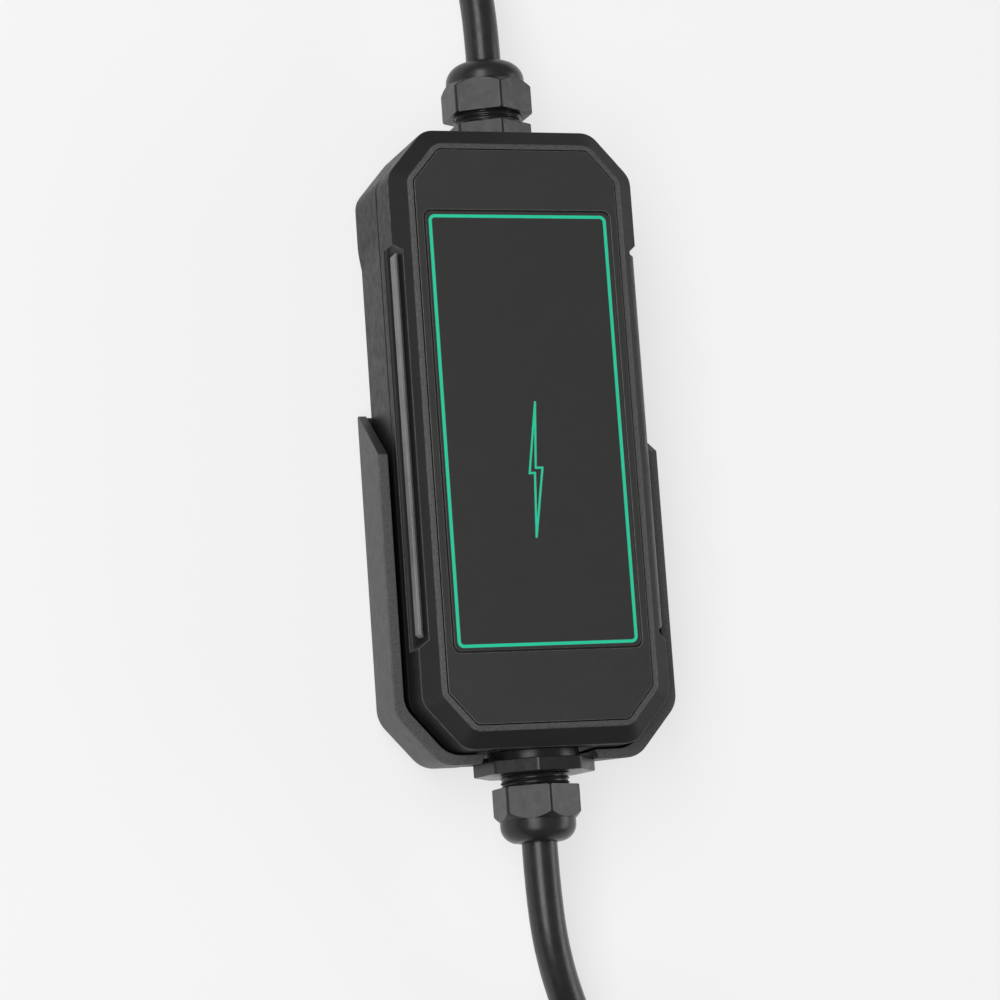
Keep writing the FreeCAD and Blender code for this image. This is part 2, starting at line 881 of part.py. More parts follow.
def make_bolt_light():
    """The bolt figure: one stroke for each side of its outline, with round joints."""
    width = mm.bolt_width.value
    depth = mm.light_depth.value
    base = front.value - depth
    corners = [Vector(x, y, 0) * mm.bolt_scale.value for x, y in BOLT_CORNERS]
    strokes = []
    for start, end in zip(corners, corners[1:] + corners[:1]):
        run = end - start
        stroke = Part.makeBox(run.Length, width, depth, Vector(0, -width / 2, 0))
        stroke.Placement = FreeCAD.Placement(
            start + Vector(0, 0, base), FreeCAD.Rotation(Vector(1, 0, 0), run))
        joint = Part.makeCylinder(width / 2, depth, start + Vector(0, 0, base))
        strokes += [stroke, joint]
    item = doc.addObject("Part::Feature", "bolt_light_figure")
    item.Shape = strokes[0].fuse(strokes[1:]).removeSplitter()
    return keep(item, "bolt_light")


def make_display_window(light_frame, bolt_light):
    body = new_body("display_window")
    plan = window_outline(mm.window_gap)
    pad(body, outline_sketch(body, "XY_Plane", front - mm.window_thickness, plan, mm.window_round),
        mm.window_thickness)
    framed = boolean("Cut", "window_frame", body, light_frame)
    return keep(boolean("Cut", "window_bolt", framed, bolt_light), "display_window")


# Electronics


def make_main_board():
    low = (-board_half_width, -board_half_length, board_bottom)
    board = box("main_board", low, (2 * board_half_width, mm.board_length, mm.board_thickness))
    holes = [
        cylinder("board_hole", (x, y, board_bottom), mm.board_screw_diameter / 2 + mm.screw_clearance,
                 mm.board_thickness)
        for x, y in board_screw_places
    ]
    return keep(boolean("Cut", "main_board", board, fuse("board_holes", holes)), "main_board")


def make_board_screws():
    screws = []
    for x, y in board_screw_places:
        foot = board_top - mm.board_screw_length
        shank = cylinder("shank", (x, y, foot), mm.board_screw_diameter / 2, mm.board_screw_length)
        head = cylinder("head", (x, y, board_top), mm.board_screw_head / 2, mm.board_thickness)
        screws.append(fuse("board_screw", [shank, head]))
    return group("board_screws", screws)


def make_display_board():
    low = (-display_half_width, -display_half_length, display_bottom)
    board = box("display_board", low, (2 * display_half_width, 2 * display_half_length, mm.board_thickness))
    holes = [
        cylinder("post_hole", (x, y, display_bottom), mm.display_pin / 2 + mm.thread_gap, mm.board_thickness)
        for x, y in display_post_places
    ]
    return keep(boolean("Cut", "display_board", board, fuse("post_holes", holes)), "display_board")


def make_display_leds():
    reach = display_half_width - mm.led_side
    places = [(side * reach, step * mm.led_pitch) for side in (-1, 1) for step in (-3, -2, -1, 0, 1, 2, 3)]
    places += [(as_length(0), step * mm.led_pitch) for step in (-1, 0)]
    half = mm.led_width / 2
    size = (mm.led_width, mm.led_width, mm.led_height)
    return group("display_leds", [box("led", (x - half, y - half, display_top), size) for x, y in places])


def make_relays():
    half = mm.relay_width / 2
    size = (mm.relay_width, mm.relay_length, mm.relay_height)
    low_y = relay_top - mm.relay_length
    return group("relays", [
        box("relay", (side * mm.relay_x - half, low_y, board_top), size) for side in (-1, 1)
    ])


def make_current_sensor():
    centre = (mm.sensor_x, sensor_y, board_top)
    ring = cylinder("sensor_ring", centre, mm.sensor_diameter / 2, mm.sensor_height)
    hole = cylinder("sensor_hole", centre, mm.sensor_bore / 2, mm.sensor_height)
    return keep(boolean("Cut", "current_sensor", ring, hole), "current_sensor")


def make_power_transformer():
    low_y = mm.transformer_y - mm.transformer_length / 2
    bobbin = box("bobbin", (mm.transformer_x - mm.transformer_width / 2, low_y, board_top),
                 (mm.transformer_width, mm.transformer_length, mm.transformer_height))
    core_width = mm.transformer_width / 2
    core_low = (mm.transformer_x - core_width / 2, low_y - mm.core_overhang, board_top + mm.core_overhang)
    core_size = (core_width, mm.transformer_length + 2 * mm.core_overhang,
                 mm.transformer_height - mm.core_overhang)
    return keep(fuse("power_transformer", [bobbin, box("core", core_low, core_size)]), "power_transformer")


def make_filter_capacitors():
    middle = (relay_top + sensor_y - mm.sensor_diameter / 2) / 2
    cans = [
        cylinder("can", (mm.capacitor_side - board_half_width, middle + step * mm.capacitor_pitch, board_top),
                 mm.capacitor_diameter / 2, mm.capacitor_height)
        for step in (-1, 0, 1)
    ]
    return group("filter_capacitors", cans)


def make_terminal(label, end, ways):
    """A screw terminal at one end of the main board, open towards its cable."""
    width = ways * mm.terminal_pitch + 2 * mm.terminal_margin
    face = end * (board_half_length - mm.terminal_edge)
    low_y = face - mm.terminal_depth if end > 0 else face
    block = box(label, (-width / 2, low_y, board_top), (width, mm.terminal_depth, mm.terminal_height))
    holes = []
    for x, screw_y in [(way_x(step, ways), face - end * mm.terminal_screw_setback) for step in range(ways)]:
        entry = cylinder("entry", (0, 0, 0), mm.terminal_hole / 2, mm.terminal_depth / 2)
        move(entry, (x, face, board_top + mm.terminal_hole_height), Vector(1, 0, 0), 90 * end)
        height = board_top + mm.terminal_hole_height
        screw = cylinder("screw_well", (x, screw_y, height), mm.terminal_hole / 2, mm.terminal_height)
        holes += [entry, screw]
    return keep(boolean("Cut", label, block, fuse(label + "_holes", holes)), label)


def way_x(step, ways):
    return (step - (ways - 1) / 2) * mm.terminal_pitch


def make_control_chips():
    half = mm.chip_size / 2
    size = (mm.chip_size, mm.chip_size, mm.chip_height)
    chips = [
        box("chip", (step * mm.chip_pitch - half, mm.chip_end - board_half_length - half, board_top), size)
        for step in (-1, 0, 1)
    ]
    return group("control_chips", chips)


def make_fuse():
    radius = mm.fuse_diameter / 2
    start = board_half_length - mm.fuse_end - mm.fuse_length / 2
    tube = cylinder("fuse_tube", (0, 0, 0), radius, mm.fuse_length)
    move(tube, (mm.fuse_x, start, board_top + mm.fuse_clip + radius), Vector(1, 0, 0), -90)
    clip_size = (mm.fuse_diameter, 2 * mm.fuse_clip, mm.fuse_clip + radius)
    clips = [
        box("clip", (mm.fuse_x - radius, y, board_top), clip_size)
        for y in (start, start + mm.fuse_length - 2 * mm.fuse_clip)
    ]
    return keep(fuse("fuse", [tube] + clips), "fuse")


def make_board_link():
    centre = board_half_width - mm.link_side
    low = (centre - mm.link_thickness / 2, mm.link_y - mm.link_length / 2, board_top)
    size = (mm.link_thickness, mm.link_length, display_bottom - board_top)
    return keep(box("board_link", low, size), "board_link")


# Wall holder


def holder_outline(side, foot):
    """Corners of the holder's tub: wider than the box by side, longer at its foot, open at its top."""
    half = half_width + side
    bottom = -half_length - foot
    leg_x = mm.corner_leg_x + side * LEG_GROWTH
    leg_y = mm.corner_leg_y + side * LEG_GROWTH
    top = half_length / 2
    return [
        (half, top), (-half, top), (-half, bottom + leg_y),
        (leg_x - half, bottom), (half - leg_x, bottom), (half, bottom + leg_y),
    ]


def make_wall_holder():
    body = new_body("wall_holder")
    rounds = [None, None] + [mm.holder_corner_round] * 4
    rim = mm.holder_height
    sections = []
    for degrees in (0, 30, 60, 90):
        height = mm.holder_back_round * (1 - math.cos(math.radians(degrees)))
        inset = mm.holder_back_round * (1 - math.sin(math.radians(degrees)))
        plan = holder_outline(mm.holder_back_side - inset, mm.holder_back_foot - inset)
        sections.append(outline_sketch(body, "XY_Plane", height, plan, rounds))
    rim_plan = holder_outline(mm.holder_rim_side, mm.holder_rim_foot)
    sections.append(outline_sketch(body, "XY_Plane", rim, rim_plan, rounds))
    loft(body, sections[0], sections[1:])
    back_plan = holder_outline(
        mm.holder_back_side - mm.holder_wall_back, mm.holder_back_foot - mm.holder_foot_back_wall)
    inner_back_sketch = outline_sketch(body, "XY_Plane", mm.plate, back_plan, rounds)
    inner_rim_plan = holder_outline(
        mm.holder_rim_side - mm.holder_wall_rim, mm.holder_rim_foot - mm.holder_foot_rim_wall)
    inner_rim_sketch = outline_sketch(body, "XY_Plane", rim, inner_rim_plan, rounds)
    loft(body, inner_back_sketch, [inner_rim_sketch], subtractive=True)
    top = half_length
    reach = half_width + mm.holder_rim_side * 2
    slant = [
        (mm.wing_back_end, -mm.plate), (mm.wing_back_end, mm.plate * 2), (mm.wing_rim_end, rim),
        (mm.wing_rim_end, rim + mm.plate), (top, rim + mm.plate), (top, -mm.plate),
    ]
    pocket(body, outline_sketch(body, "YZ_Plane", -reach, slant), 2 * reach, reverse=True)
    inner_foot = -(half_length - mm.wall)
    outer_foot = -(half_length + mm.holder_rim_foot)
    notch = [
        (-mm.notch_inner / 2, inner_foot), (-mm.notch_outer / 2, outer_foot - mm.wall),
        (mm.notch_outer / 2, outer_foot - mm.wall), (mm.notch_inner / 2, inner_foot),
    ]
    pocket(body, outline_sketch(body, "XY_Plane", rim, notch), rim - mm.notch_floor)
    holes = [(x, y + mm.mount_shift) for x, y in both_sides(mm.mount_x / 2, mm.mount_y / 2)]
    bored = pocket(body, circle_sketch(body, "XY_Plane", mm.plate, holes, mm.mount_hole / 2), mm.plate)

    def screw_seat(edge):
        return flat_at(mm.plate)(edge) and abs(edge.Length - math.pi * mm.mount_hole.value) < 1e-3

    last = dress("Chamfer", body, bored, screw_seat, (mm.mount_head - mm.mount_hole) / 2)
    return finish_body(body, "wall_holder", last)


# Cable glands, drawn from the housing's end face outwards along +Z


def end_placement(item, end, height):
    """Turn a piece from +Z to the housing's upper end (1) or lower end (-1)."""
    move(item, (0, end * half_length, height), Vector(1, 0, 0), -90 * end)


def gland_sizes(side):
    names = ("flange_flats", "flange_depth", "nut_flats", "nut_start", "nut_hex", "dome")
    sizes = {name: getattr(mm, f"{side}_{name}") for name in names}
    sizes["washer"] = mm.vehicle_washer_depth if side == "vehicle" else as_length(0)
    sizes["corners"] = 8 if side == "vehicle" else 6
    sizes["turn"] = FLANGE_TURN if side == "vehicle" else CORNER_UP
    return SimpleNamespace(**sizes)


def make_gland(side, end):
    sizes = gland_sizes(side)
    thread_end = sizes.nut_start + mm.gland_engagement
    mouth = sizes.nut_start + sizes.nut_hex + sizes.dome
    make_gland_body(side, end, sizes, thread_end)
    make_gland_nut(side, end, sizes, thread_end, mouth)
    make_gland_seal(side, end, thread_end)
    make_locknut(side, end)
    if side == "vehicle":
        make_gland_washer(end)
    return mouth


def make_gland_body(side, end, sizes, thread_end):
    body = new_body(f"{side}_gland_body")
    flange = regular(sizes.corners, sizes.flange_flats, sizes.turn)
    pad(body, outline_sketch(body, "XY_Plane", sizes.washer, flange), sizes.flange_depth)
    reach = thread_end + mm.gland_inner_reach
    pad(body, circle_sketch(body, "XY_Plane", -mm.gland_inner_reach, [(0, 0)], thread_radius), reach)
    pocket(body, circle_sketch(body, "XY_Plane", thread_end, [(0, 0)], mm.gland_bore / 2), reach)
    seat = circle_sketch(body, "XY_Plane", thread_end, [(0, 0)], mm.gland_seal_diameter / 2 + mm.thread_gap)
    last = pocket(body, seat, mm.gland_seal_length)
    end_placement(body, end, mm.gland_height)
    return finish_body(body, f"{side}_gland_body", last)


def make_gland_nut(side, end, sizes, thread_end, mouth):
    body = new_body(f"{side}_gland_nut")
    hex_end = sizes.nut_start + sizes.nut_hex
    flats = sizes.nut_flats / 2
    corner = flats / math.cos(math.pi / 6)
    pad(body, outline_sketch(body, "XY_Plane", sizes.nut_start, regular(6, sizes.nut_flats, CORNER_UP)),
        sizes.nut_hex)
    chamfer = [
        (flats, hex_end), (corner, hex_end - mm.gland_nut_chamfer),
        (corner + mm.wall, hex_end - mm.gland_nut_chamfer), (corner + mm.wall, hex_end + mm.wall),
        (flats, hex_end + mm.wall),
    ]
    revolve(body, outline_sketch(body, "XZ_Plane", 0, chamfer), subtractive=True)
    dome = [(0, hex_end), (flats, hex_end), (flats, mouth), (0, mouth)]
    revolve(body, outline_sketch(body, "XZ_Plane", 0, dome, [None, None, mm.gland_dome_round, None]))
    pocket(body, circle_sketch(body, "XY_Plane", mouth, [(0, 0)], mm.gland_bore / 2), mouth)
    thread = circle_sketch(body, "XY_Plane", sizes.nut_start, [(0, 0)], thread_radius + mm.thread_gap)
    last = pocket(body, thread, thread_end + mm.gland_seal_proud - sizes.nut_start, reverse=True)
    end_placement(body, end, mm.gland_height)
    return finish_body(body, f"{side}_gland_nut", last)


def ring(label, base, outer, inner, height):
    """A plain turned ring along +Z."""
    body = new_body(label)
    sketch = new_sketch(body, "XY_Plane", base)
    add_circle(sketch, (0, 0), outer)
    add_circle(sketch, (0, 0), inner)
    last = pad(body, sketch, height)
    return finish_body(body, label, last)


def make_gland_seal(side, end, thread_end):
    label = f"{side}_gland_seal"
    length = mm.gland_seal_length + mm.gland_seal_proud
    item = ring(label, thread_end - mm.gland_seal_length, mm.gland_seal_diameter / 2,
                cable_radius + mm.cable_gap, length)
    end_placement(item, end, mm.gland_height)


def make_locknut(side, end):
    label = f"{side}_gland_locknut"
    body = new_body(label)
    base = -mm.wall - mm.locknut_depth
    nut = new_sketch(body, "XY_Plane", base)
    add_outline(nut, regular(6, mm.locknut_flats, CORNER_UP))
    add_circle(nut, (0, 0), thread_radius + mm.thread_gap)
    last = pad(body, nut, mm.locknut_depth)
    end_placement(body, end, mm.gland_height)
    finish_body(body, label, last)


def make_gland_washer(end):
    item = ring("vehicle_gland_washer", as_length(0), mm.vehicle_washer_diameter / 2,
                thread_radius + mm.gland_clearance, mm.vehicle_washer_depth)
    end_placement(item, end, mm.gland_height)


# Cables


def routed_wire(points, label=None):
    """Straight runs joined by tangent arcs, each as large as its two runs allow."""
    edges = []
    radii = []
    start = points[0]
    for last, point, following in zip(points, points[1:], points[2:]):
        into = point - last
        out = following - point
        half_turn = into.getAngle(out) / 2
        shorter = min(into.Length, out.Length)
        cut = ARC_SHARE * shorter
        radius = cut / math.tan(half_turn)
        radii.append(radius)
        arc_start = point - into.normalize() * cut
        arc_end = point + out.normalize() * cut
        inwards = (arc_start + arc_end) * 0.5 - point
        reach = math.hypot(radius, cut)
        middle = point + inwards.normalize() * (reach - radius)
        edges.append(Part.LineSegment(start, arc_start).toShape())
        edges.append(Part.Arc(arc_start, middle, arc_end).toShape())
        start = arc_end
    edges.append(Part.LineSegment(start, points[-1]).toShape())
    wire = Part.Wire(edges)
    if label is not None:
        print(label, "length", round(wire.Length, 1), "radii", [round(radius) for radius in radii])
    return wire


def tube(points, radius, label=None):
    """A round bar along a route."""
    wire = routed_wire(points, label)
    section = Part.Wire([Part.Circle(points[0], points[1] - points[0], radius).toShape()])
    solid = wire.makePipeShell([section], True, False)
    expected = math.pi * radius ** 2 * wire.Length
    if abs(solid.Volume / expected - 1) > 0.01:
        raise ValueError(f"{label}: volume {solid.Volume:.0f}, expected {expected:.0f}")
    return solid


def make_inner_lead(side, end, ways, mouth):
    """The cable's length inside the gland and the box, with its cores to the terminal."""
    radius = cable_radius.value
    height = mm.gland_height.value
    outside = half_length.value + mouth.value
    inside = half_length.value - mm.lead_end.value
    pieces = [Part.makeCylinder(radius, outside - inside, Vector(0, end * inside, height), Vector(0, end, 0))]
    face = (board_half_length - mm.terminal_edge).value
    entry = board_top.value + mm.terminal_hole_height.value
    core = mm.core_diameter.value / 2
    straight = mm.core_straight.value
    middle = (ways - 1) / 2
    for step in range(ways):
        near_x = (step - middle) * mm.core_pitch.value
        far_x = way_x(step, ways).value
        stations = (
            (near_x, inside + core, height), (near_x, inside - straight, height),
            (far_x, face + straight, entry), (far_x, face - core, entry),
        )
        pieces.append(tube([Vector(x, end * y, z) for x, y, z in stations], core))
    item = doc.addObject("Part::Feature", f"{side}_lead_inner_cable")
    item.Shape = pieces[0].fuse(pieces[1:])
    return keep(item, f"{side}_lead_inner")


def make_cord(label, route, coil):
    """A free stretch of cable, with its coiled end shaped to its coil."""
    item = doc.addObject("Part::Feature", label + "_cable")
    item.Shape = tube([Vector(*point) for point in route], cable_radius.value, label)
    return keep(boolean("Cut", label, item, coil), label)


def make_coil(label, centre, run, layers):
    """The outer shape of a folded cable's turns: two straight runs with round ends."""
    body = new_body(label)
    outline = new_sketch(body, "XY_Plane")
    for inset in (as_length(0), mm.coil_columns * mm.cable_diameter):
        half = mm.coil_width / 2 - inset
        end = run / 2 + half
        add_outline(outline, rectangle(-half, half, -end, end), half - mm.coil_flat)
    last = pad(body, outline, layers * mm.cable_diameter)
    body.Placement = FreeCAD.Placement(Vector(*centre, 0), FreeCAD.Rotation())
    return finish_body(body, label, last)


def make_tie(label, coil, layers, offset, degrees):
    """A strap over the coil's turns, down to the surface on both sides."""
    body = new_body(label)
    height = layers * mm.cable_diameter
    outer = mm.coil_width / 2
    inner = outer - mm.coil_columns * mm.cable_diameter
    band = mm.tie_thickness
    arch = [
        (inner - band, 0), (inner - band, height + band), (outer + band, height + band), (outer + band, 0),
        (outer, 0), (outer, height), (inner, height), (inner, 0),
    ]
    arch_sketch = outline_sketch(body, "XZ_Plane", -mm.tie_width / 2, arch)
    body.Tip = pad(body, arch_sketch, mm.tie_width)
    place = coil.Placement.Base + Vector(0, offset, 0)
    body.Placement = FreeCAD.Placement(place, FreeCAD.Rotation(Vector(0, 0, 1), degrees))
    return keep(boolean("Cut", label, body, coil), label)


def make_mains_cable():
    coil = make_coil("mains_coil", MAINS_COIL_CENTRE, mm.mains_coil_run, mm.mains_coil_layers)
    make_tie("mains_coil_tie", coil, mm.mains_coil_layers, mm.mains_coil_run.value / 2, 90)
    make_cord("mains_cord", MAINS_ROUTE, coil)
    make_cord("plug_cord", PLUG_ROUTE, coil)
    make_plug()


def make_vehicle_cable():
    coil = make_coil("vehicle_coil", VEHICLE_COIL_CENTRE, mm.vehicle_coil_run, mm.vehicle_coil_layers)
    make_tie("vehicle_coil_tie", coil, mm.vehicle_coil_layers, 0, 180)
    make_cord("vehicle_cord", VEHICLE_ROUTE, coil)
    make_cord("connector_cord", CONNECTOR_ROUTE, coil)
    make_connector()


def make_connector():
    sheath = make_sheath()
    make_handle_half(-1, "connector_handle_lower", sheath)
    make_handle_half(1, "connector_handle_upper", sheath)
    make_connector_leads(sheath)
    make_nose()
    make_contacts()
    make_connector_relief()
    make_latch()


# Mains plug, drawn from its cable end along +Z


def make_plug():
    height = mm.mains_coil_layers * mm.cable_diameter + mm.plug_diameter / 2
    place = FreeCAD.Placement(Vector(*PLUG_PLACE, height.value), FreeCAD.Rotation(Vector(1, 0, 0), -90))
    radius = mm.plug_diameter / 2
    relief = new_body("plug_strain_relief")
    taper = [(0, 0), (mm.relief_tip / 2, 0), (mm.relief_base / 2, mm.relief_length), (0, mm.relief_length)]
    revolve(relief, outline_sketch(relief, "XZ_Plane", 0, taper))
    relief.Placement = place
    finish_body(relief, "plug_strain_relief")
    body = new_body("plug_body")
    end = mm.relief_length + mm.plug_length
    profile = [(0, mm.relief_length), (radius, mm.relief_length), (radius, end), (0, end)]
    revolve(body, outline_sketch(body, "XZ_Plane", 0, profile, [None, mm.plug_round, None, None]))
    sockets = circle_sketch(body, "XY_Plane", end, [(-mm.pin_pitch / 2, 0), (mm.pin_pitch / 2, 0)],
                            mm.pin_diameter / 2)
    last = pocket(body, sockets, mm.pin_root)
    body.Placement = place
    finish_body(body, "plug_body", last)
    pins = []
    for side in (-1, 1):
        pin = new_body("plug_pin")
        sketch = circle_sketch(pin, "XY_Plane", end - mm.pin_root, [(side * mm.pin_pitch / 2, 0)],
                               mm.pin_diameter / 2)
        pin_pad = pad(pin, sketch, mm.pin_root + mm.pin_length)
        tip_height = end + mm.pin_length
        dress("Fillet", pin, pin_pad, flat_at(tip_height), mm.pin_diameter / 3)
        pin.Placement = place
        pins.append(pin)
    group("plug_pins", pins)


# Vehicle connector, drawn with its nose along +X, its latch on +Y and its thickness along Z


def connector_placement():
    height = mm.vehicle_coil_layers * mm.cable_diameter + mm.nose_diameter / 2
    return FreeCAD.Placement(
        Vector(*CONNECTOR_PLACE, height.value), FreeCAD.Rotation(Vector(0, 0, 1), CONNECTOR_TURN))


def grip_point(along, across):
    """A place given along and across the grip, whose root lies in the body's middle."""
    direction = (-math.cos(math.radians(GRIP_ANGLE)), -math.sin(math.radians(GRIP_ANGLE)))
    normal = (-direction[1], direction[0])
    x = along * direction[0] - mm.grip_root - across * normal[0]
    return (x, along * direction[1] - across * normal[1])


def handle_outline(inset):
    """Side view of the handle: the body behind the nose and the sloping grip."""
    top = mm.body_top - inset
    bottom = mm.body_bottom - inset
    half = mm.grip_half_width - inset
    heel = grip_point(mm.grip_length - inset, -half)
    toe = grip_point(mm.grip_length - inset, half)
    return [
        (-inset, top), (-mm.body_length, top), grip_point(mm.body_length / 2, half), toe,
        heel, grip_point(mm.body_length / 2, -half), (-mm.body_heel, -bottom), (-inset, -bottom),
    ]


def make_handle_half(side, label, sheath):
    """One half of the handle: a shell with the latch's channel in its top."""
    body = new_body(label)
    thickness = mm.nose_diameter / 2
    rounds = [None, mm.connector_edge, mm.connector_edge, mm.connector_edge,
              mm.connector_edge, mm.connector_edge, mm.connector_edge, None]
    reverse = side < 0
    side_view = outline_sketch(body, "XY_Plane", 0, handle_outline(as_length(0)), rounds)
    block = pad(body, side_view, thickness, reverse)

    def long_edge(edge):
        outside = abs(abs(edge.BoundBox.ZMin) - thickness.value) < 1e-3 and edge.BoundBox.ZLength < 1e-3
        return outside and edge.BoundBox.XMax > edge.BoundBox.XMin + 1e-3

    dress("Fillet", body, block, long_edge, mm.handle_round)
    inner_rounds = [None] + [mm.connector_edge - mm.connector_wall] * 6 + [None]
    inside = outline_sketch(body, "XY_Plane", 0, handle_outline(mm.connector_wall), inner_rounds)
    pocket(body, inside, thickness - mm.handle_side_wall, not reverse)
    nose_hole = circle_sketch(body, "YZ_Plane", -mm.connector_wall * 2, [(0, 0)],
                              mm.nose_spigot / 2 + mm.gland_clearance)
    pocket(body, nose_hole, mm.connector_wall * 3, reverse=True)
    channel_floor = mm.body_top - mm.channel_depth
    block_sketch = outline_sketch(
        body, "XY_Plane", 0,
        rectangle(-mm.channel_length - mm.connector_wall, as_length(0) - mm.connector_wall / 2,
                  channel_floor - mm.connector_wall, mm.body_top - mm.connector_wall / 2))
    pad(body, block_sketch, mm.channel_width / 2 + mm.connector_wall, reverse)
    channel = outline_sketch(
        body, "XY_Plane", 0,
        rectangle(-mm.channel_length, mm.connector_wall, channel_floor, mm.body_top + mm.connector_wall))
    pocket(body, channel, mm.channel_width / 2, not reverse)
    pin_hole = circle_sketch(body, "XY_Plane", 0, [(mm.latch_x, latch_height())],
                             mm.latch_pin / 2 + mm.thread_gap)
    body.Tip = pocket(body, pin_hole, mm.channel_width / 2 + mm.latch_pin_seat, not reverse)
    body.Placement = connector_placement()
    return keep(boolean("Cut", label, body, sheath), label)


def make_sheath():
    """The cable's end, held in the handle's end wall."""
    x, y = grip_point(mm.grip_length, as_length(0))
    lie = FreeCAD.Rotation(Vector(0, 0, 1), GRIP_ANGLE).multiply(FreeCAD.Rotation(Vector(0, 1, 0), 90))
    item = doc.addObject("Part::Cylinder", "sheath_cylinder")
    bind(item, "Radius", cable_radius)
    bind(item, "Height", mm.connector_wall + mm.sheath_inside)
    item.Placement = connector_placement().multiply(FreeCAD.Placement(Vector(x.value, y.value, 0), lie))
    return item


def make_connector_leads(sheath):
    """The cable's end and its cores, up to the nose."""
    inside = mm.grip_length - mm.connector_wall - mm.sheath_inside
    radius = mm.wire_diameter.value / 2
    circle = mm.wire_circle.value / 2
    straight = mm.wire_straight.value
    nose_back = -mm.nose_spigot_length.value
    wires = []
    for step in range(5):
        near = turned(circle - radius / 2, 72 * step)
        far = turned(circle, 72 * step)
        stations = [
            flat_point(grip_point(inside + lift, as_length(near[0])), near[1]) for lift in (radius, -straight)
        ]
        stations += [Vector(nose_back - offset, far[0], far[1]) for offset in (straight, 0)]
        wires.append(tube(stations, radius))
    cores = doc.addObject("Part::Feature", "connector_cores")
    cores.Shape = wires[0].fuse(wires[1:])
    cores.Placement = connector_placement()
    return keep(fuse("connector_leads", [sheath, cores]), "connector_leads")


def flat_point(point, z):
    return Vector(as_length(point[0]).value, as_length(point[1]).value, z)


def latch_height():
    return mm.body_top - mm.lever_lift


def make_nose():
    """The round plug: an outer collar, and an insert that carries the contacts."""
    body = new_body("connector_nose")
    end = mm.nose_length
    spigot = mm.nose_spigot / 2
    profile = [
        (0, -mm.nose_spigot_length), (spigot, -mm.nose_spigot_length), (spigot, 0),
        (mm.nose_diameter / 2, 0), (mm.nose_diameter / 2, end), (mm.nose_groove_outer / 2, end),
        (mm.nose_groove_outer / 2, end - mm.nose_groove_depth),
        (mm.nose_groove_inner / 2, end - mm.nose_groove_depth),
        (mm.nose_groove_inner / 2, end), (0, end),
    ]
    revolve(body, outline_sketch(body, "XZ_Plane", 0, profile))
    holes = new_sketch(body, "XY_Plane", end)
    for x, y, radius in contact_places():
        add_circle(holes, (x, y), radius)
    last = pocket(body, holes, mm.contact_depth)
    body.Placement = connector_placement().multiply(
        FreeCAD.Placement(Vector(0, 0, 0), FreeCAD.Rotation(Vector(0, 1, 0), 90)))
    return finish_body(body, "connector_nose", last)


def contact_places():
    """Two power contacts and earth on a wide circle, with two signal contacts between."""
    power = mm.power_circle / 2
    signal = mm.signal_circle / 2
    places = [(*turned(power, degrees), mm.contact_large / 2) for degrees in POWER_TURNS]
    places.append((as_length(0), -mm.earth_drop, mm.contact_large / 2))
    places += [(*turned(signal, degrees), mm.contact_small / 2) for degrees in SIGNAL_TURNS]
    return places


def make_contacts():
    tubes = []
    for x, y, radius in contact_places():
        sleeve = cylinder("contact", (x, y, mm.nose_length - mm.contact_depth), radius, mm.contact_depth)
        hole = cylinder("contact_hole", (x, y, mm.nose_length - mm.contact_depth + mm.contact_wall),
                        radius - mm.contact_wall, mm.contact_depth)
        tubes.append(boolean("Cut", "contact", sleeve, hole))
    turned_nose = connector_placement().multiply(
        FreeCAD.Placement(Vector(0, 0, 0), FreeCAD.Rotation(Vector(0, 1, 0), 90)))
    item = group("connector_contacts", tubes)
    item.Placement = turned_nose
    return item


def make_connector_relief():
    body = new_body("connector_strain_relief")
    taper = [(0, 0), (mm.relief_base / 2, 0), (mm.relief_tip / 2, mm.relief_length), (0, mm.relief_length)]
    last = revolve(body, outline_sketch(body, "XZ_Plane", 0, taper))
    x, y = grip_point(mm.grip_length, as_length(0))
    lie = FreeCAD.Rotation(Vector(0, 0, 1), 180 + GRIP_ANGLE).multiply(FreeCAD.Rotation(Vector(0, 1, 0), 90))
    body.Placement = connector_placement().multiply(FreeCAD.Placement(Vector(x.value, y.value, 0), lie))
    return finish_body(body, "connector_strain_relief", last)


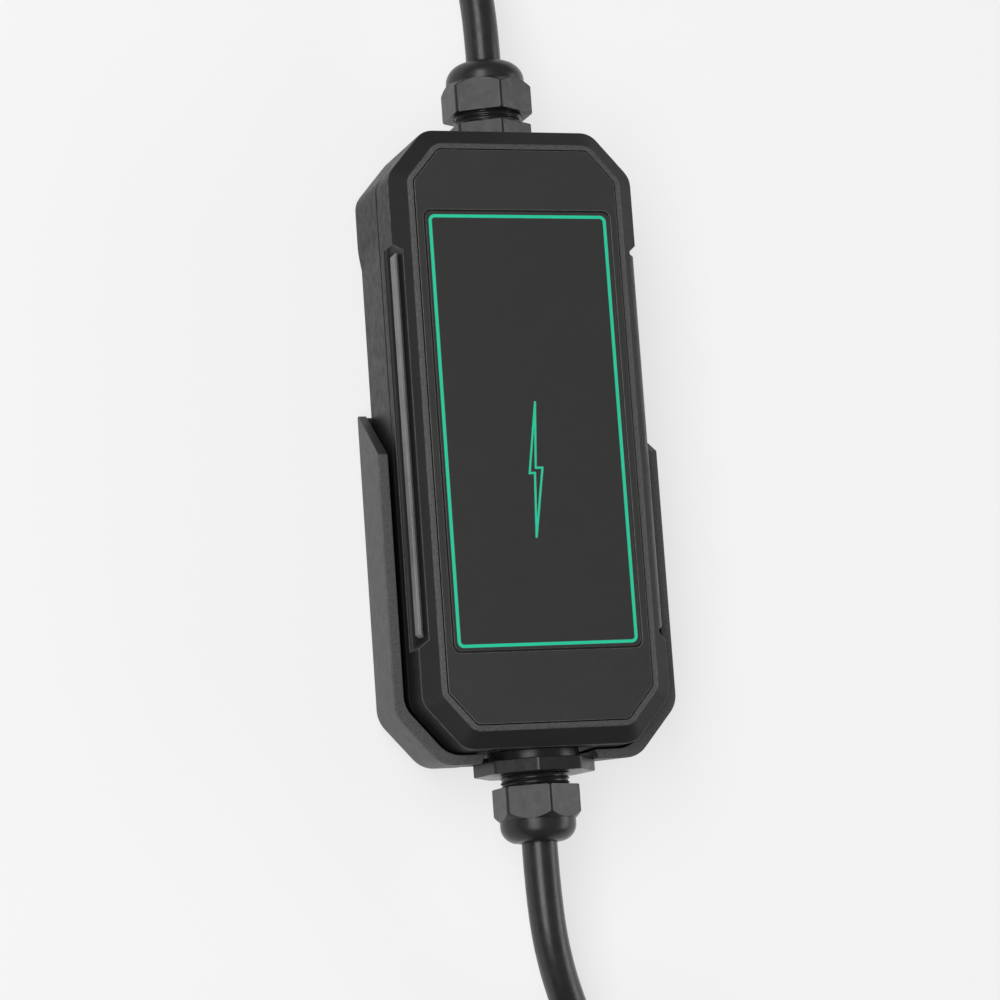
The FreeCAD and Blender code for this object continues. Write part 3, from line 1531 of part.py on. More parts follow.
def make_latch():
    """The latch lever with its hook and thumb pad, its pin and its return spring."""
    pivot = latch_height()
    low = pivot - mm.lever_height / 2
    high = pivot + mm.lever_height / 2
    bridge = mm.nose_diameter / 2 + mm.hook_drop / 2
    rear = -mm.channel_length + mm.connector_wall / 2
    body = new_body("latch_lever")
    corners = [
        (rear, low), (rear, high + mm.thumb_rise), (rear + mm.thumb_length, high + mm.thumb_rise),
        (rear + mm.thumb_length + mm.thumb_rise, high), (mm.latch_x, high),
        (mm.wall, bridge + mm.lever_height), (mm.hook_reach, bridge + mm.lever_height),
        (mm.hook_reach, bridge - mm.hook_drop / 3),
        (mm.hook_reach - mm.lever_height, bridge - mm.hook_drop / 3),
        (mm.hook_reach - mm.lever_height, bridge + mm.hook_drop / 2), (mm.wall, bridge + mm.hook_drop / 2),
        (mm.latch_x + mm.latch_boss, low),
    ]
    pad(body, outline_sketch(body, "XY_Plane", -mm.lever_width / 2, corners), mm.lever_width)
    centre = [(mm.latch_x, pivot)]
    boss = circle_sketch(body, "XY_Plane", -mm.lever_width / 2, centre, mm.latch_boss)
    pad(body, boss, mm.lever_width)
    pocket(body, circle_sketch(body, "XY_Plane", mm.lever_width / 2, centre, mm.latch_pin / 2 + mm.thread_gap),
           mm.lever_width)
    slot_reach = mm.latch_boss + mm.connector_wall / 2
    slot = rectangle(mm.latch_x - slot_reach, mm.latch_x + slot_reach, low - slot_reach, high + slot_reach)
    last = pocket(body, outline_sketch(body, "XY_Plane", mm.spring_slot / 2, slot), mm.spring_slot)
    body.Placement = connector_placement()
    finish_body(body, "latch_lever", last)
    pin = new_body("latch_pin")
    reach = mm.channel_width / 2 + mm.latch_pin_seat
    last = pad(pin, circle_sketch(pin, "XY_Plane", -reach, centre, mm.latch_pin / 2), 2 * reach)
    pin.Placement = connector_placement()
    finish_body(pin, "latch_pin", last)
    spring = new_body("latch_spring")
    coil = new_sketch(spring, "XY_Plane", -mm.spring_width / 2)
    add_circle(coil, centre[0], mm.spring_diameter / 2)
    add_circle(coil, centre[0], mm.latch_pin / 2 + mm.thread_gap)
    last = pad(spring, coil, mm.spring_width)
    spring.Placement = connector_placement()
    finish_body(spring, "latch_spring", last)


def main():
    seal = make_housing_seal()
    make_rear_shell()
    make_front_cover(seal)
    make_side_rib(-1, "side_rib_left")
    make_side_rib(1, "side_rib_right")
    make_cover_screws()
    make_front_panel()
    make_display_window(make_light_frame(), make_bolt_light())
    make_main_board()
    make_board_screws()
    make_display_board()
    make_display_leds()
    make_relays()
    make_current_sensor()
    make_power_transformer()
    make_filter_capacitors()
    make_terminal("input_terminal", 1, 3)
    make_terminal("output_terminal", -1, 4)
    make_control_chips()
    make_fuse()
    make_board_link()
    make_wall_holder()
    mains_mouth = make_gland("mains", 1)
    vehicle_mouth = make_gland("vehicle", -1)
    make_inner_lead("mains", 1, 3, mains_mouth)
    make_inner_lead("vehicle", -1, 4, vehicle_mouth)
    make_mains_cable()
    make_vehicle_cable()
    check_and_export()


def check_and_export():
    doc.recompute()
    for item in doc.Objects:
        if "Invalid" in item.State or "Error" in item.State:
            raise RuntimeError(f"{item.Name} ({item.Label}) failed: {item.State}")
    for item in nodes:
        if item.Shape.isNull() or not item.Shape.isValid():
            raise RuntimeError(f"{item.Label} has no valid shape")
    os.makedirs("parts", exist_ok=True)
    for item in nodes:
        item.Shape.exportStep(f"parts/{item.Label}.step")
        print(item.Label, len(item.Shape.Solids), "solids", round(item.Shape.Volume), "mm3")


main()
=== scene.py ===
import json
import math

import bmesh
import bpy
from mathutils import Matrix, Vector
from mathutils.bvhtree import BVHTree


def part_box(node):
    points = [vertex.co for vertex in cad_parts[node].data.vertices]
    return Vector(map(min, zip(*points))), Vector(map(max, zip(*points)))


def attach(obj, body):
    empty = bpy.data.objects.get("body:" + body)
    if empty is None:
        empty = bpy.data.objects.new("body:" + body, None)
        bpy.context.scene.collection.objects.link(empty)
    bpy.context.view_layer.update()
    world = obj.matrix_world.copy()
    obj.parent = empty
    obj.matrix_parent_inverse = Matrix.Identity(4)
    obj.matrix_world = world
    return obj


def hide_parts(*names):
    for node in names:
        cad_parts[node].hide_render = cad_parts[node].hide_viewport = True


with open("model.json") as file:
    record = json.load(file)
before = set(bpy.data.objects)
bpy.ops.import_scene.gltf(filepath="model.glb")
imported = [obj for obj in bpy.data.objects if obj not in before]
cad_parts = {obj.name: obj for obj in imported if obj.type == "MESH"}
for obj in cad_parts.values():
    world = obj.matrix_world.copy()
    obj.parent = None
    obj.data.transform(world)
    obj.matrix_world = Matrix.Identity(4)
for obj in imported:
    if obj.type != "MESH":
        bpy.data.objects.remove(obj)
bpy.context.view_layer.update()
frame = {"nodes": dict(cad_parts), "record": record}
nodes = frame["nodes"]

# Sizes and places are in mm, and MM turns them into Blender's metres. Those of the camera, the floor and the lamps
# and the tolerances are in metres.
MM = 0.001


# Places that the part's source gives

HALF_LENGTH = 109
PARTING = 32.4
GLAND_HEIGHT = 27.5
CABLE_RADIUS = 6.25
OUTER_FOLD = 50
INNER_FOLD = 37.5
PLUG_AXIS = (37.75, 31)
CONNECTOR_AXIS = (31, 71.5)
MAINS_ROUTE = [
    (0, 139, 27.5), (0, 160, 27.5), (-1, 184, 19.5), (0.5, 207, 10.5), (11, 229, 6.4), (25, 248.5, 6.25),
    (35, 266, 6.25),
]
PLUG_ROUTE = [
    (-37.5, 352, 12), (-37.5, 330, 18.8), (-37.5, 273, 21), (0.1, 251.3, 27), (37.75, 273, 31), (37.75, 318, 31),
]
VEHICLE_ROUTE = [
    (0, -140.5, 27.5), (0, -160, 27.5), (4.3, -182.5, 22), (14, -204, 12.4), (26, -224.8, 6.8), (36.5, -243, 6.25),
]
CONNECTOR_ROUTE = [
    (-50, -318, 43.75), (-50, -290, 43.75), (-50, -244.6, 48), (-9.5, -221.2, 59), (31, -244.6, 71.5),
    (31, -289, 71.5),
]

# The folded coils. way is 1 or -1 along Y. Where a coil ends is counted in turns, and so is from where to where its
# line moves to the turn inside, to the turn outside and up by a layer.
COIL_START = -1 / 24
COILS = {
    "mains": {
        "centre": (0, 330.3), "run": 50, "way": 1, "run_steps": 2, "end": 1.482,
        "inwards": [(0.48, 0.76)], "outwards": [], "upwards": [(1.38, 1.66)],
    },
    "vehicle": {
        "centre": (0, -335), "run": 110, "way": -1, "run_steps": 4, "end": 5.63,
        "inwards": [(0.58, 0.74), (3.56, 3.74)], "outwards": [(2.06, 2.24), (5.06, 5.24)],
        "upwards": [(1.38, 1.56), (2.87, 3.05), (4.38, 4.56)],
    },
}
ARC_STEPS = 12


# Rounded edges

# Pieces whose outer edges are rounded, with the radius of the rounding
SOFT_EDGES = {
    "rear_shell": 0.35,
    "front_cover": 0.3,
    "side_rib_left": 0.25,
    "side_rib_right": 0.25,
    "front_panel": 0.2,
    "display_window": 0.2,
    "wall_holder": 0.45,
    "vehicle_gland_washer": 0.3,
    "plug_body": 0.4,
    "connector_handle_lower": 0.5,
    "connector_handle_upper": 0.5,
    "connector_nose": 0.3,
    "latch_lever": 0.4,
}
SOFT_ANGLE = 20
SOFT_SEGMENTS = 2

# The groove where the two shells of the box meet, and how far it reaches into each of them
SEAMED = ("rear_shell", "front_cover")
SEAM_REACH = 0.7

# An edge is an outer one if nothing of its piece is in front of it, from just off the edge to this far away
OPEN_FROM = 0.05
OPEN_TO = 30

# What counts as the same place, as lying in a cut and as lying on the parting, in metres
SAME_PLACE = 1e-6
IN_CUT = 1e-7
ON_PARTING = 1e-5

# Faces that meet at less than the first angle become one, and edges above the second are shaded sharp
FLAT_ANGLE = 0.5
SHARP_ANGLE = 35


# Lines cut across grips: the axis of each grip in X and Z, and where its lines start and end along Y
GRIPS = {
    "plug_body": (PLUG_AXIS, 363, 383),
    "connector_handle_lower": (CONNECTOR_AXIS, -374, -314),
    "connector_handle_upper": (CONNECTOR_AXIS, -374, -314),
}
GRIP_PITCH = 4
GRIP_DEPTH = 0.7
GRIP_HALF_WIDTH = 0.4

# A line is cut only where the surface faces away from the axis at least this much
GRIP_FACING = 0.3


# Cable glands, with heights from the box's end face outwards. A flange and a nut are given by where they start, where
# they end and half their width across flats. sides and turn are the flange's, and mouth is where the nut opens.
GLANDS = {
    "mains": {"way": 1, "sides": 6, "turn": 90, "flange": (0, 6.4, 13.7), "nut": (10.2, 22, 14.4), "mouth": 30},
    "vehicle": {"way": -1, "sides": 8, "turn": 76, "flange": (3.2, 7.9, 19.75), "nut": (12.2, 23.6, 13.6),
                "mouth": 31.5},
}
GLAND_BORE = 6.7
GLAND_SEAT = 9.35
SEAT_DEPTH = 8
INNER_REACH = 9
CORNER_ROUND = 1.1
TURNED_STEPS = 240

THREAD_RADIUS = 12.2
THREAD_PITCH = 1.6
THREAD_DEPTH = 0.65
THREAD_SLOPE = 2.6
THREAD_PLAY = 0.05
THREAD_IN_NUT = 7
ROWS_PER_PITCH = 8

# Edges in small steps, each a height from the flange's foot, its top or the nut's mouth, and how far the edge has
# stepped back there
FLANGE_FOOT_EDGE = ((0, 0.35), (0.35, 0))
FLANGE_TOP_EDGE = ((-0.45, 0), (-0.12, 0.15), (0, 0.5))
MOUTH_EDGE = ((0, 0.4), (-0.12, 0.12), (-0.4, 0))

# The corners of the nut's hexagon are turned down to a cone at each of its ends, a long one outside and a short one
# at its foot. The rows of each are given by how far they go and how close together they are.
NUT_DEPTH = 8
NUT_SIDES = 6
NUT_CONE = 2.2
NUT_CONE_ROWS = (2.4, 0.15)
NUT_FOOT = 0.5
NUT_FOOT_SLOPE = 1.2
NUT_FOOT_ROWS = (0.6, 0.2)

# Its dome starts inside the hexagon's flats and leaves a flat lip round the bore
DOME_ROUND = 7
DOME_INSET = 0.3
DOME_STEP = 0.05
DOME_LIP = 0.5
DOME_DEGREES = 6


# Strain reliefs: the thin end as a share of the thick end, and the rings cut into the taper
RELIEF_TIP = 0.775
RELIEF_ROUND = 0.5
RELIEF_PLAY = 0.05
RELIEF_ENDS = 0.8
RELIEF_ROWS = 0.3
RELIEF_STEPS = 96
RING_PITCH = 4.2
RING_DEPTH = 1.3
RING_SPAN = (0.16, 0.94)
RING_SLOPE = 2.2
RING_SHIFT = 0.6


# Materials

# Grains of the noises that all surfaces share: slow shifts of tone, an uneven gloss, broken and speckled painted
# highlights
TONE_GRAIN = 18
GLOSS_GRAIN = 3.5
HIGHLIGHT_GRAIN = 2.2
SPECKLE_GRAIN = 0.7

# What a noise is stretched from, the least painted highlight on a rounded edge, and how dark and light a band's
# speckles are
NOISE_RANGE = (0.3, 0.7)
LEAST_HIGHLIGHT = 0.35
SPECKLES = (0.65, 1.05)

# A wave texture of scale 1 has bands of about one part in this many of a metre
WAVE_WIDTHS = 6.2


def node_tree(name):
    material = bpy.data.materials.new(name)
    material.use_nodes = True
    tree = material.node_tree
    shader = tree.nodes["Principled BSDF"]
    return material, tree, shader


def add(tree, kind, **values):
    node = tree.nodes.new(kind)
    for name, value in values.items():
        node.inputs[name].default_value = value
    return node


def maths(tree, operation, *values):
    """The result of a Math node, whose inputs are sockets or numbers."""
    node = tree.nodes.new("ShaderNodeMath")
    node.operation = operation
    for socket, value in zip(node.inputs, values):
        if isinstance(value, bpy.types.NodeSocket):
            tree.links.new(value, socket)
        else:
            socket.default_value = value
    return node.outputs["Value"]


def object_place(tree):
    return tree.nodes.new("ShaderNodeTexCoord").outputs["Object"]


def scaled(colour, factor):
    return [channel * factor for channel in colour]


def noise(tree, grain, detail=3):
    """A 3D noise in the object's own space, with grains of a size."""
    texture = add(tree, "ShaderNodeTexNoise", Scale=1 / (grain * MM), Detail=detail, Roughness=0.55)
    tree.links.new(object_place(tree), texture.inputs["Vector"])
    return texture.outputs["Fac"]


def spread(tree, source, low, high):
    """Map a noise to a range of values."""
    start, end = NOISE_RANGE
    mapped = add(tree, "ShaderNodeMapRange", **{"From Min": start, "From Max": end, "To Min": low, "To Max": high})
    tree.links.new(source, mapped.inputs["Value"])
    return mapped.outputs["Result"]


def mixed(tree, share, first, second):
    """Mix two colours, each a socket or a value, by a share."""
    mix = tree.nodes.new("ShaderNodeMix")
    mix.data_type = "RGBA"
    for socket, colour in (("A", first), ("B", second)):
        if isinstance(colour, bpy.types.NodeSocket):
            tree.links.new(colour, mix.inputs[socket])
        else:
            mix.inputs[socket].default_value = (*colour, 1)
    tree.links.new(share, mix.inputs["Factor"])
    return mix.outputs["Result"]


def tinted(tree, source, dark, light):
    """A colour between two, by a noise."""
    return mixed(tree, spread(tree, source, 0, 1), dark, light)


def bumped(tree, source, depth, under=None):
    """Normals of a relief of a depth, on top of those of another."""
    bump = add(tree, "ShaderNodeBump", Strength=1, Distance=depth * MM)
    tree.links.new(source, bump.inputs["Height"])
    if under is not None:
        tree.links.new(under, bump.inputs["Normal"])
    return bump.outputs["Normal"]


def painted_edge_highlight(tree):
    """A painted highlight where softened() has rounded an edge, broken up by a noise."""
    highlit = tree.nodes.new("ShaderNodeAttribute")
    highlit.attribute_name = "highlight_mark"
    return maths(tree, "MULTIPLY", highlit.outputs["Fac"], spread(tree, noise(tree, HIGHLIGHT_GRAIN, detail=5), LEAST_HIGHLIGHT, 1))


def between(tree, low, high):
    """1 on what lies between two heights above the floor."""
    split = tree.nodes.new("ShaderNodeSeparateXYZ")
    tree.links.new(object_place(tree), split.inputs["Vector"])
    return maths(tree, "COMPARE", split.outputs["Z"], (low + high) / 2 * MM, (high - low) / 2 * MM)


def surface(name, colour, roughness, grain=0.4, depth=0.02, variation=0.12, polish=0.06, metallic=0.0, coat=0.0,
            specular=0.5, highlit=1.9, highlight_band=None):
    """Moulded, cast or drawn material: a fine grain, slow shifts of tone, an uneven gloss and a painted highlight on
    rounded edges.

    Its rounded edges get a painted highlight, a given factor lighter, and a band between two given heights is painted
    all over with that highlight, speckled.
    """
    material, tree, shader = node_tree(name)
    # Rounded edges are painted lighter, broken up by a noise: a painted highlight.
    edge = [min(channel, 1) for channel in scaled(colour, highlit)]
    slow = noise(tree, TONE_GRAIN, detail=4)
    plain = tinted(tree, slow, scaled(colour, 1 - variation), scaled(colour, 1 + variation))
    tone = mixed(tree, painted_edge_highlight(tree), plain, edge)
    # Between two heights the whole surface gets the lighter edge colour, speckled: a painted highlight band.
    if highlight_band is not None:
        dark, light = (scaled(edge, factor) for factor in SPECKLES)
        speckled = tinted(tree, noise(tree, SPECKLE_GRAIN, detail=1), dark, light)
        tone = mixed(tree, between(tree, *highlight_band), tone, speckled)
    tree.links.new(tone, shader.inputs["Base Color"])
    gloss = spread(tree, noise(tree, GLOSS_GRAIN), roughness - polish, roughness + polish)
    tree.links.new(gloss, shader.inputs["Roughness"])
    tree.links.new(bumped(tree, noise(tree, grain, detail=2), depth), shader.inputs["Normal"])
    shader.inputs["Metallic"].default_value = metallic
    shader.inputs["Coat Weight"].default_value = coat
    shader.inputs["Specular IOR Level"].default_value = specular
    return material


def woven(name, colour, width):
    """Hook-and-loop strap: two crossed sets of threads of a width, with a fuzzy nap."""
    material, tree, shader = node_tree(name)
    waves = []
    for direction in ("X", "Y"):
        wave = add(tree, "ShaderNodeTexWave", Scale=1 / (WAVE_WIDTHS * width * MM), Distortion=1.2, Detail=1)
        wave.bands_direction = direction
        tree.links.new(object_place(tree), wave.inputs["Vector"])
        waves.append(wave.outputs["Fac"])
    weave = maths(tree, "MAXIMUM", *waves)
    nap = bumped(tree, noise(tree, grain=0.25), depth=0.12)
    tree.links.new(bumped(tree, weave, depth=0.25, under=nap), shader.inputs["Normal"])
    tree.links.new(tinted(tree, weave, scaled(colour, 0.5), colour), shader.inputs["Base Color"])
    shader.inputs["Roughness"].default_value = 0.95
    shader.inputs["Sheen Weight"].default_value = 0.3
    return material


def light_guide(name, colour, glow):
    """A light guide that glows faintly in its own colour."""
    material, tree, shader = node_tree(name)
    tone = tinted(tree, noise(tree, grain=6), scaled(colour, 0.94), colour)
    tree.links.new(tone, shader.inputs["Base Color"])
    tree.links.new(tone, shader.inputs["Emission Color"])
    shader.inputs["Emission Strength"].default_value = glow
    shader.inputs["Roughness"].default_value = 0.4
    return material


def board_material(name, dark, light, cell):
    """A circuit board, with its tracks in cells of a size."""
    material, tree, shader = node_tree(name)
    cells = add(tree, "ShaderNodeTexVoronoi", Scale=1 / (cell * MM), Randomness=0.7)
    cells.distance = "MANHATTAN"
    tree.links.new(object_place(tree), cells.inputs["Vector"])
    tree.links.new(tinted(tree, cells.outputs["Distance"], dark, light), shader.inputs["Base Color"])
    tree.links.new(bumped(tree, cells.outputs["Distance"], depth=0.03), shader.inputs["Normal"])
    shader.inputs["Roughness"].default_value = 0.35
    return material


# What the pieces of the plug and the connector have in common, and what all metals have
MOULDED = dict(grain=0.45, variation=0.06, polish=0.03, highlit=3)
METAL = dict(metallic=1.0)
# In each look, the factor for rounded edges says how much lighter they are painted: a painted highlight.
SURFACES = {
    # The housing's front bevel and the holder's rim are painted as speckled highlight bands.
    "housing": dict(colour=(0.0165, 0.0165, 0.0167), roughness=0.43, grain=0.45, depth=0.025, variation=0.07, highlit=5,
                    specular=0.14, highlight_band=(51.52, 52.2)),
    "rib": dict(colour=(0.16, 0.16, 0.16), roughness=0.6, grain=0.7, depth=0.14, variation=0.3, highlit=1.3),
    "panel": dict(colour=(0.0225, 0.0222, 0.0218), roughness=0.48, grain=0.35, depth=0.015, variation=0.05,
                  polish=0.02, highlit=5),
    "window": dict(colour=(0.0205, 0.0205, 0.0202), roughness=0.45, grain=0.6, depth=0.006, variation=0.04,
                   polish=0.015, highlit=3),
    "holder": dict(colour=(0.022, 0.022, 0.0225), roughness=0.46, grain=0.5, depth=0.035, variation=0.07,
                   polish=0.03, specular=0.35, highlit=4, highlight_band=(35.5, 35.7)),
    "gland": dict(colour=(0.017, 0.017, 0.0175), roughness=0.3, grain=0.7, variation=0.15, specular=0.33),
    "cable": dict(colour=(0.017, 0.017, 0.0173), roughness=0.32, grain=0.9, variation=0.15, specular=0.45),
    "plug": dict(colour=(0.02, 0.02, 0.0202), roughness=0.43, specular=0.3, **MOULDED),
    "handle": dict(colour=(0.02, 0.02, 0.0202), roughness=0.45, depth=0.025, specular=0.25, **MOULDED),
    "nose": dict(colour=(0.018, 0.018, 0.018), roughness=0.4, depth=0.015, specular=0.35, **MOULDED),
    "latch": dict(colour=(0.026, 0.026, 0.0265), roughness=0.4, specular=0.35, **MOULDED),
    "seal": dict(colour=(0.008, 0.008, 0.008), roughness=0.7, grain=0.6, depth=0.03),
    "steel": dict(colour=(0.55, 0.55, 0.56), roughness=0.32, grain=0.2, depth=0.01, highlit=1.2, **METAL),
    "pins": dict(colour=(0.75, 0.75, 0.76), roughness=0.18, depth=0.003, variation=0.04, highlit=1.1, **METAL),
    "contact": dict(colour=(0.8, 0.74, 0.6), roughness=0.22, grain=0.3, depth=0.004, highlit=1.1, **METAL),
    "capacitor": dict(colour=(0.62, 0.63, 0.66), roughness=0.3, grain=0.25, depth=0.006, highlit=1.2, **METAL),
    "winding": dict(colour=(0.3, 0.2, 0.04), roughness=0.35, grain=0.5, depth=0.05, coat=0.3),
    "led": dict(colour=(0.85, 0.85, 0.8), roughness=0.2, grain=0.5, depth=0.005, coat=0.4, highlit=1.05),
    "fuse": dict(colour=(0.75, 0.77, 0.75), roughness=0.12, grain=0.5, depth=0.002, coat=0.6, highlit=1.1),
    "component": dict(colour=(0.03, 0.03, 0.035), roughness=0.45, grain=0.3, depth=0.01),
    "terminal": dict(colour=(0.04, 0.2, 0.07), roughness=0.42, depth=0.01),
}
materials = {name: surface(name, **look) for name, look in SURFACES.items()}
materials["tie"] = woven("tie", (0.035, 0.035, 0.037), width=0.7)
materials["light"] = light_guide("light", (0.015, 0.52, 0.3), glow=0.06)
materials["board"] = board_material("board", (0.01, 0.09, 0.035), (0.02, 0.16, 0.06), cell=4)

slot_of = {part["node"]: part["material_slot"] for part in frame["record"]["subparts"]}
body_of = {node: "charger" for node in slot_of}
body_of["latch_lever"] = "latch"
for node, slot in slot_of.items():
    nodes[node].data.materials.clear()
    nodes[node].data.materials.append(materials[slot])


# Pieces


def spaced(start, end, pitch):
    """Even steps from start to end, at most a pitch apart."""
    count = math.ceil((end - start) / pitch)
    return [start + (end - start) * step / count for step in range(count + 1)]


def placed(name, data):
    item = bpy.data.objects.new(name, data)
    bpy.context.scene.collection.objects.link(item)
    return item


def put_in_order(elements, key):
    for index, element in enumerate(sorted(elements, key=key)):
        element.index = index
    elements.sort()


def mesh_from(shape, name):
    """The shape as a mesh. Its elements get a fixed order, because a bevel's order differs from run to run."""
    put_in_order(shape.verts, lambda vert: tuple(vert.co))
    put_in_order(shape.edges, lambda edge: sorted(vert.index for vert in edge.verts))
    put_in_order(shape.faces, lambda face: sorted(vert.index for vert in face.verts))
    mesh = bpy.data.meshes.new(name)
    shape.to_mesh(mesh)
    shape.free()
    mesh.shade_smooth()
    mesh.set_sharp_from_angle(angle=math.radians(SHARP_ANGLE))
    return mesh


def replace_node(node, name, mesh):
    """Put a piece in the place of a node, with the node's material and on its body."""
    mesh.materials.append(materials[slot_of[node]])
    piece = placed(name, mesh)
    weighted = piece.modifiers.new("normals", "WEIGHTED_NORMAL")
    weighted.keep_sharp = True
    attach(piece, body_of[node])
    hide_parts(node)


def open_air(tree, edge):
    """Whether an edge is on the outside of its piece: nothing of the piece is in front of it."""
    outwards = (edge.link_faces[0].normal + edge.link_faces[1].normal).normalized()
    middle = (edge.verts[0].co + edge.verts[1].co) / 2
    hit = tree.ray_cast(middle + outwards * OPEN_FROM * MM, outwards, OPEN_TO * MM)
    return hit[0] is None


def on_parting(edge):
    return all(abs(vert.co.z - PARTING * MM) < ON_PARTING for vert in edge.verts)


def cut_lines(shape, axis, start, end):
    """Shallow lines cut across the outside of a grip that runs along Y."""
    for line in spaced(start, end, GRIP_PITCH):
        for offset in (-GRIP_HALF_WIDTH, 0, GRIP_HALF_WIDTH):
            bmesh.ops.bisect_plane(shape, geom=shape.verts[:] + shape.edges[:] + shape.faces[:], dist=IN_CUT,
                                   plane_co=(0, (line + offset) * MM, 0), plane_no=(0, 1, 0))
        shape.normal_update()
        middle = [vert for vert in shape.verts if abs(vert.co.y - line * MM) < SAME_PLACE]
        for vert in middle:
            away = Vector((vert.co.x - axis[0] * MM, 0, vert.co.z - axis[1] * MM)).normalized()
            if vert.normal.dot(away) > GRIP_FACING:
                vert.co -= away * GRIP_DEPTH * MM


def softened(node, radius):
    """The node's own shape, with its outer edges rounded as a mould leaves them, and marked for a painted highlight.
    """
    shape = bmesh.new()
    shape.from_mesh(nodes[node].data)
    bmesh.ops.remove_doubles(shape, verts=shape.verts, dist=SAME_PLACE)
    bmesh.ops.dissolve_limit(shape, angle_limit=math.radians(FLAT_ANGLE), verts=shape.verts, edges=shape.edges)
    layer = shape.faces.layers.float.new("highlight_mark")
    tree = BVHTree.FromBMesh(shape)
    sharp = [
        edge for edge in shape.edges
        if len(edge.link_faces) == 2 and edge.is_convex and edge.calc_face_angle(0) > math.radians(SOFT_ANGLE)
        and open_air(tree, edge)
    ]
    seam = [edge for edge in sharp if node in SEAMED and on_parting(edge)]
    sharp = [edge for edge in sharp if edge not in seam]
    # Rounded outer edges are marked for the painted highlight; the seam's groove is marked with none.
    for edges, reach, highlit in ((sharp, radius, 1.0), (seam, SEAM_REACH, 0.0)):
        rounded = bmesh.ops.bevel(shape, geom=[edge for edge in edges if edge.is_valid], offset=reach * MM,
                                  segments=SOFT_SEGMENTS, profile=0.5, affect="EDGES", clamp_overlap=False)
        for face in rounded["faces"]:
            face[layer] = highlit
    if node in GRIPS:
        cut_lines(shape, *GRIPS[node])
    replace_node(node, node + "_moulded", mesh_from(shape, node))


def turned(node, name, rows, origin, way, steps=TURNED_STEPS):
    """A closed ring of rows, each a height along Y and a radius that may depend on the angle, around an axis."""
    shape = bmesh.new()
    loops = []
    for height, reach in rows:
        loop = []
        for step in range(steps):
            angle = 2 * math.pi * step / steps
            radius = reach(angle) if callable(reach) else reach
            place = (origin[0] + radius * math.cos(angle), origin[1] + way * height,
                     origin[2] + radius * math.sin(angle))
            loop.append(shape.verts.new([value * MM for value in place]))
        loops.append(loop)
    for first, second in zip(loops, loops[1:] + loops[:1]):
        for step in range(steps):
            following = (step + 1) % steps
            shape.faces.new((first[step], first[following], second[following], second[step]))
    bmesh.ops.recalc_face_normals(shape, faces=shape.faces)
    replace_node(node, name, mesh_from(shape, name))


def rounded_polygon(sides, apothem, angle):
    """How far a regular polygon with rounded corners reaches at an angle from the middle of one side."""
    half = math.pi / sides
    away = abs((angle + half) % (2 * half) - half)
    if apothem * math.tan(away) <= (apothem - CORNER_ROUND) * math.tan(half):
        return apothem / math.cos(away)
    centre = (apothem - CORNER_ROUND) / math.cos(half)
    aside = half - away
    return centre * math.cos(aside) + math.sqrt(CORNER_ROUND ** 2 - (centre * math.sin(aside)) ** 2)


def screw_thread(start, end):
    """Rows of a screw thread that is cut into its cylinder."""
    def depth_at(height):
        def reach(angle):
            turn = (height / THREAD_PITCH - angle / (2 * math.pi)) % 1
            return THREAD_RADIUS - THREAD_DEPTH * min(1, THREAD_SLOPE * min(turn, 1 - turn))
        return reach
    return [(height, depth_at(height)) for height in spaced(start, end, THREAD_PITCH / ROWS_PER_PITCH)]


def gland_body(side, gland):
    """The gland's sleeve, with its flange, its thread and the seat for its seal."""
    foot, top, apothem = gland["flange"]
    turn = math.radians(gland["turn"]) + math.pi / gland["sides"]
    thread_end = gland["nut"][0] + THREAD_IN_NUT

    def flange(inset):
        return lambda angle: rounded_polygon(gland["sides"], apothem, angle * gland["way"] - turn) - inset
    rows = [(-INNER_REACH, GLAND_BORE), (-INNER_REACH, THREAD_RADIUS), (foot, THREAD_RADIUS)]
    rows += [(foot + up, flange(inset)) for up, inset in FLANGE_FOOT_EDGE]
    rows += [(top + up, flange(inset)) for up, inset in FLANGE_TOP_EDGE]
    rows += screw_thread(top, thread_end)
    rows += [(thread_end, GLAND_SEAT), (thread_end - SEAT_DEPTH, GLAND_SEAT), (thread_end - SEAT_DEPTH, GLAND_BORE)]
    origin = (0, gland["way"] * HALF_LENGTH, GLAND_HEIGHT)
    turned(side + "_gland_body", side + "_gland_threaded", rows, origin, gland["way"])


def gland_nut(side, gland):
    """The gland's nut: a hexagon that ends in a dome, hollow inside."""
    start, hex_end, apothem = gland["nut"]
    mouth = gland["mouth"]
    corner = apothem / math.cos(math.pi / NUT_SIDES)

    def hexagon(height):
        cone = min(apothem + (hex_end - height) * (corner - apothem) / NUT_CONE,
                   corner - NUT_FOOT + (height - start) * NUT_FOOT_SLOPE)
        return lambda angle: min(rounded_polygon(NUT_SIDES, apothem, angle), cone)
    foot_length, foot_pitch = NUT_FOOT_ROWS
    cone_length, cone_pitch = NUT_CONE_ROWS
    rows = [(start, THREAD_RADIUS + THREAD_PLAY)]
    rows += [(height, hexagon(height)) for height in spaced(start, start + foot_length, foot_pitch)]
    rows += [(height, hexagon(height)) for height in spaced(hex_end - cone_length, hex_end, cone_pitch)]
    base = apothem - DOME_INSET
    dome = min(DOME_ROUND, base - GLAND_BORE - DOME_LIP)
    rows.append((hex_end + DOME_STEP, base))
    for degrees in range(0, 91, DOME_DEGREES):
        angle = math.radians(degrees)
        rows.append((mouth - dome + dome * math.sin(angle), base - dome * (1 - math.cos(angle))))
    rows += [(mouth + up, GLAND_BORE + back) for up, back in MOUTH_EDGE]
    rows += [(start + NUT_DEPTH, GLAND_BORE), (start + NUT_DEPTH, THREAD_RADIUS + THREAD_PLAY)]
    origin = (0, gland["way"] * HALF_LENGTH, GLAND_HEIGHT)
    turned(side + "_gland_nut", side + "_gland_domed", rows, origin, gland["way"])


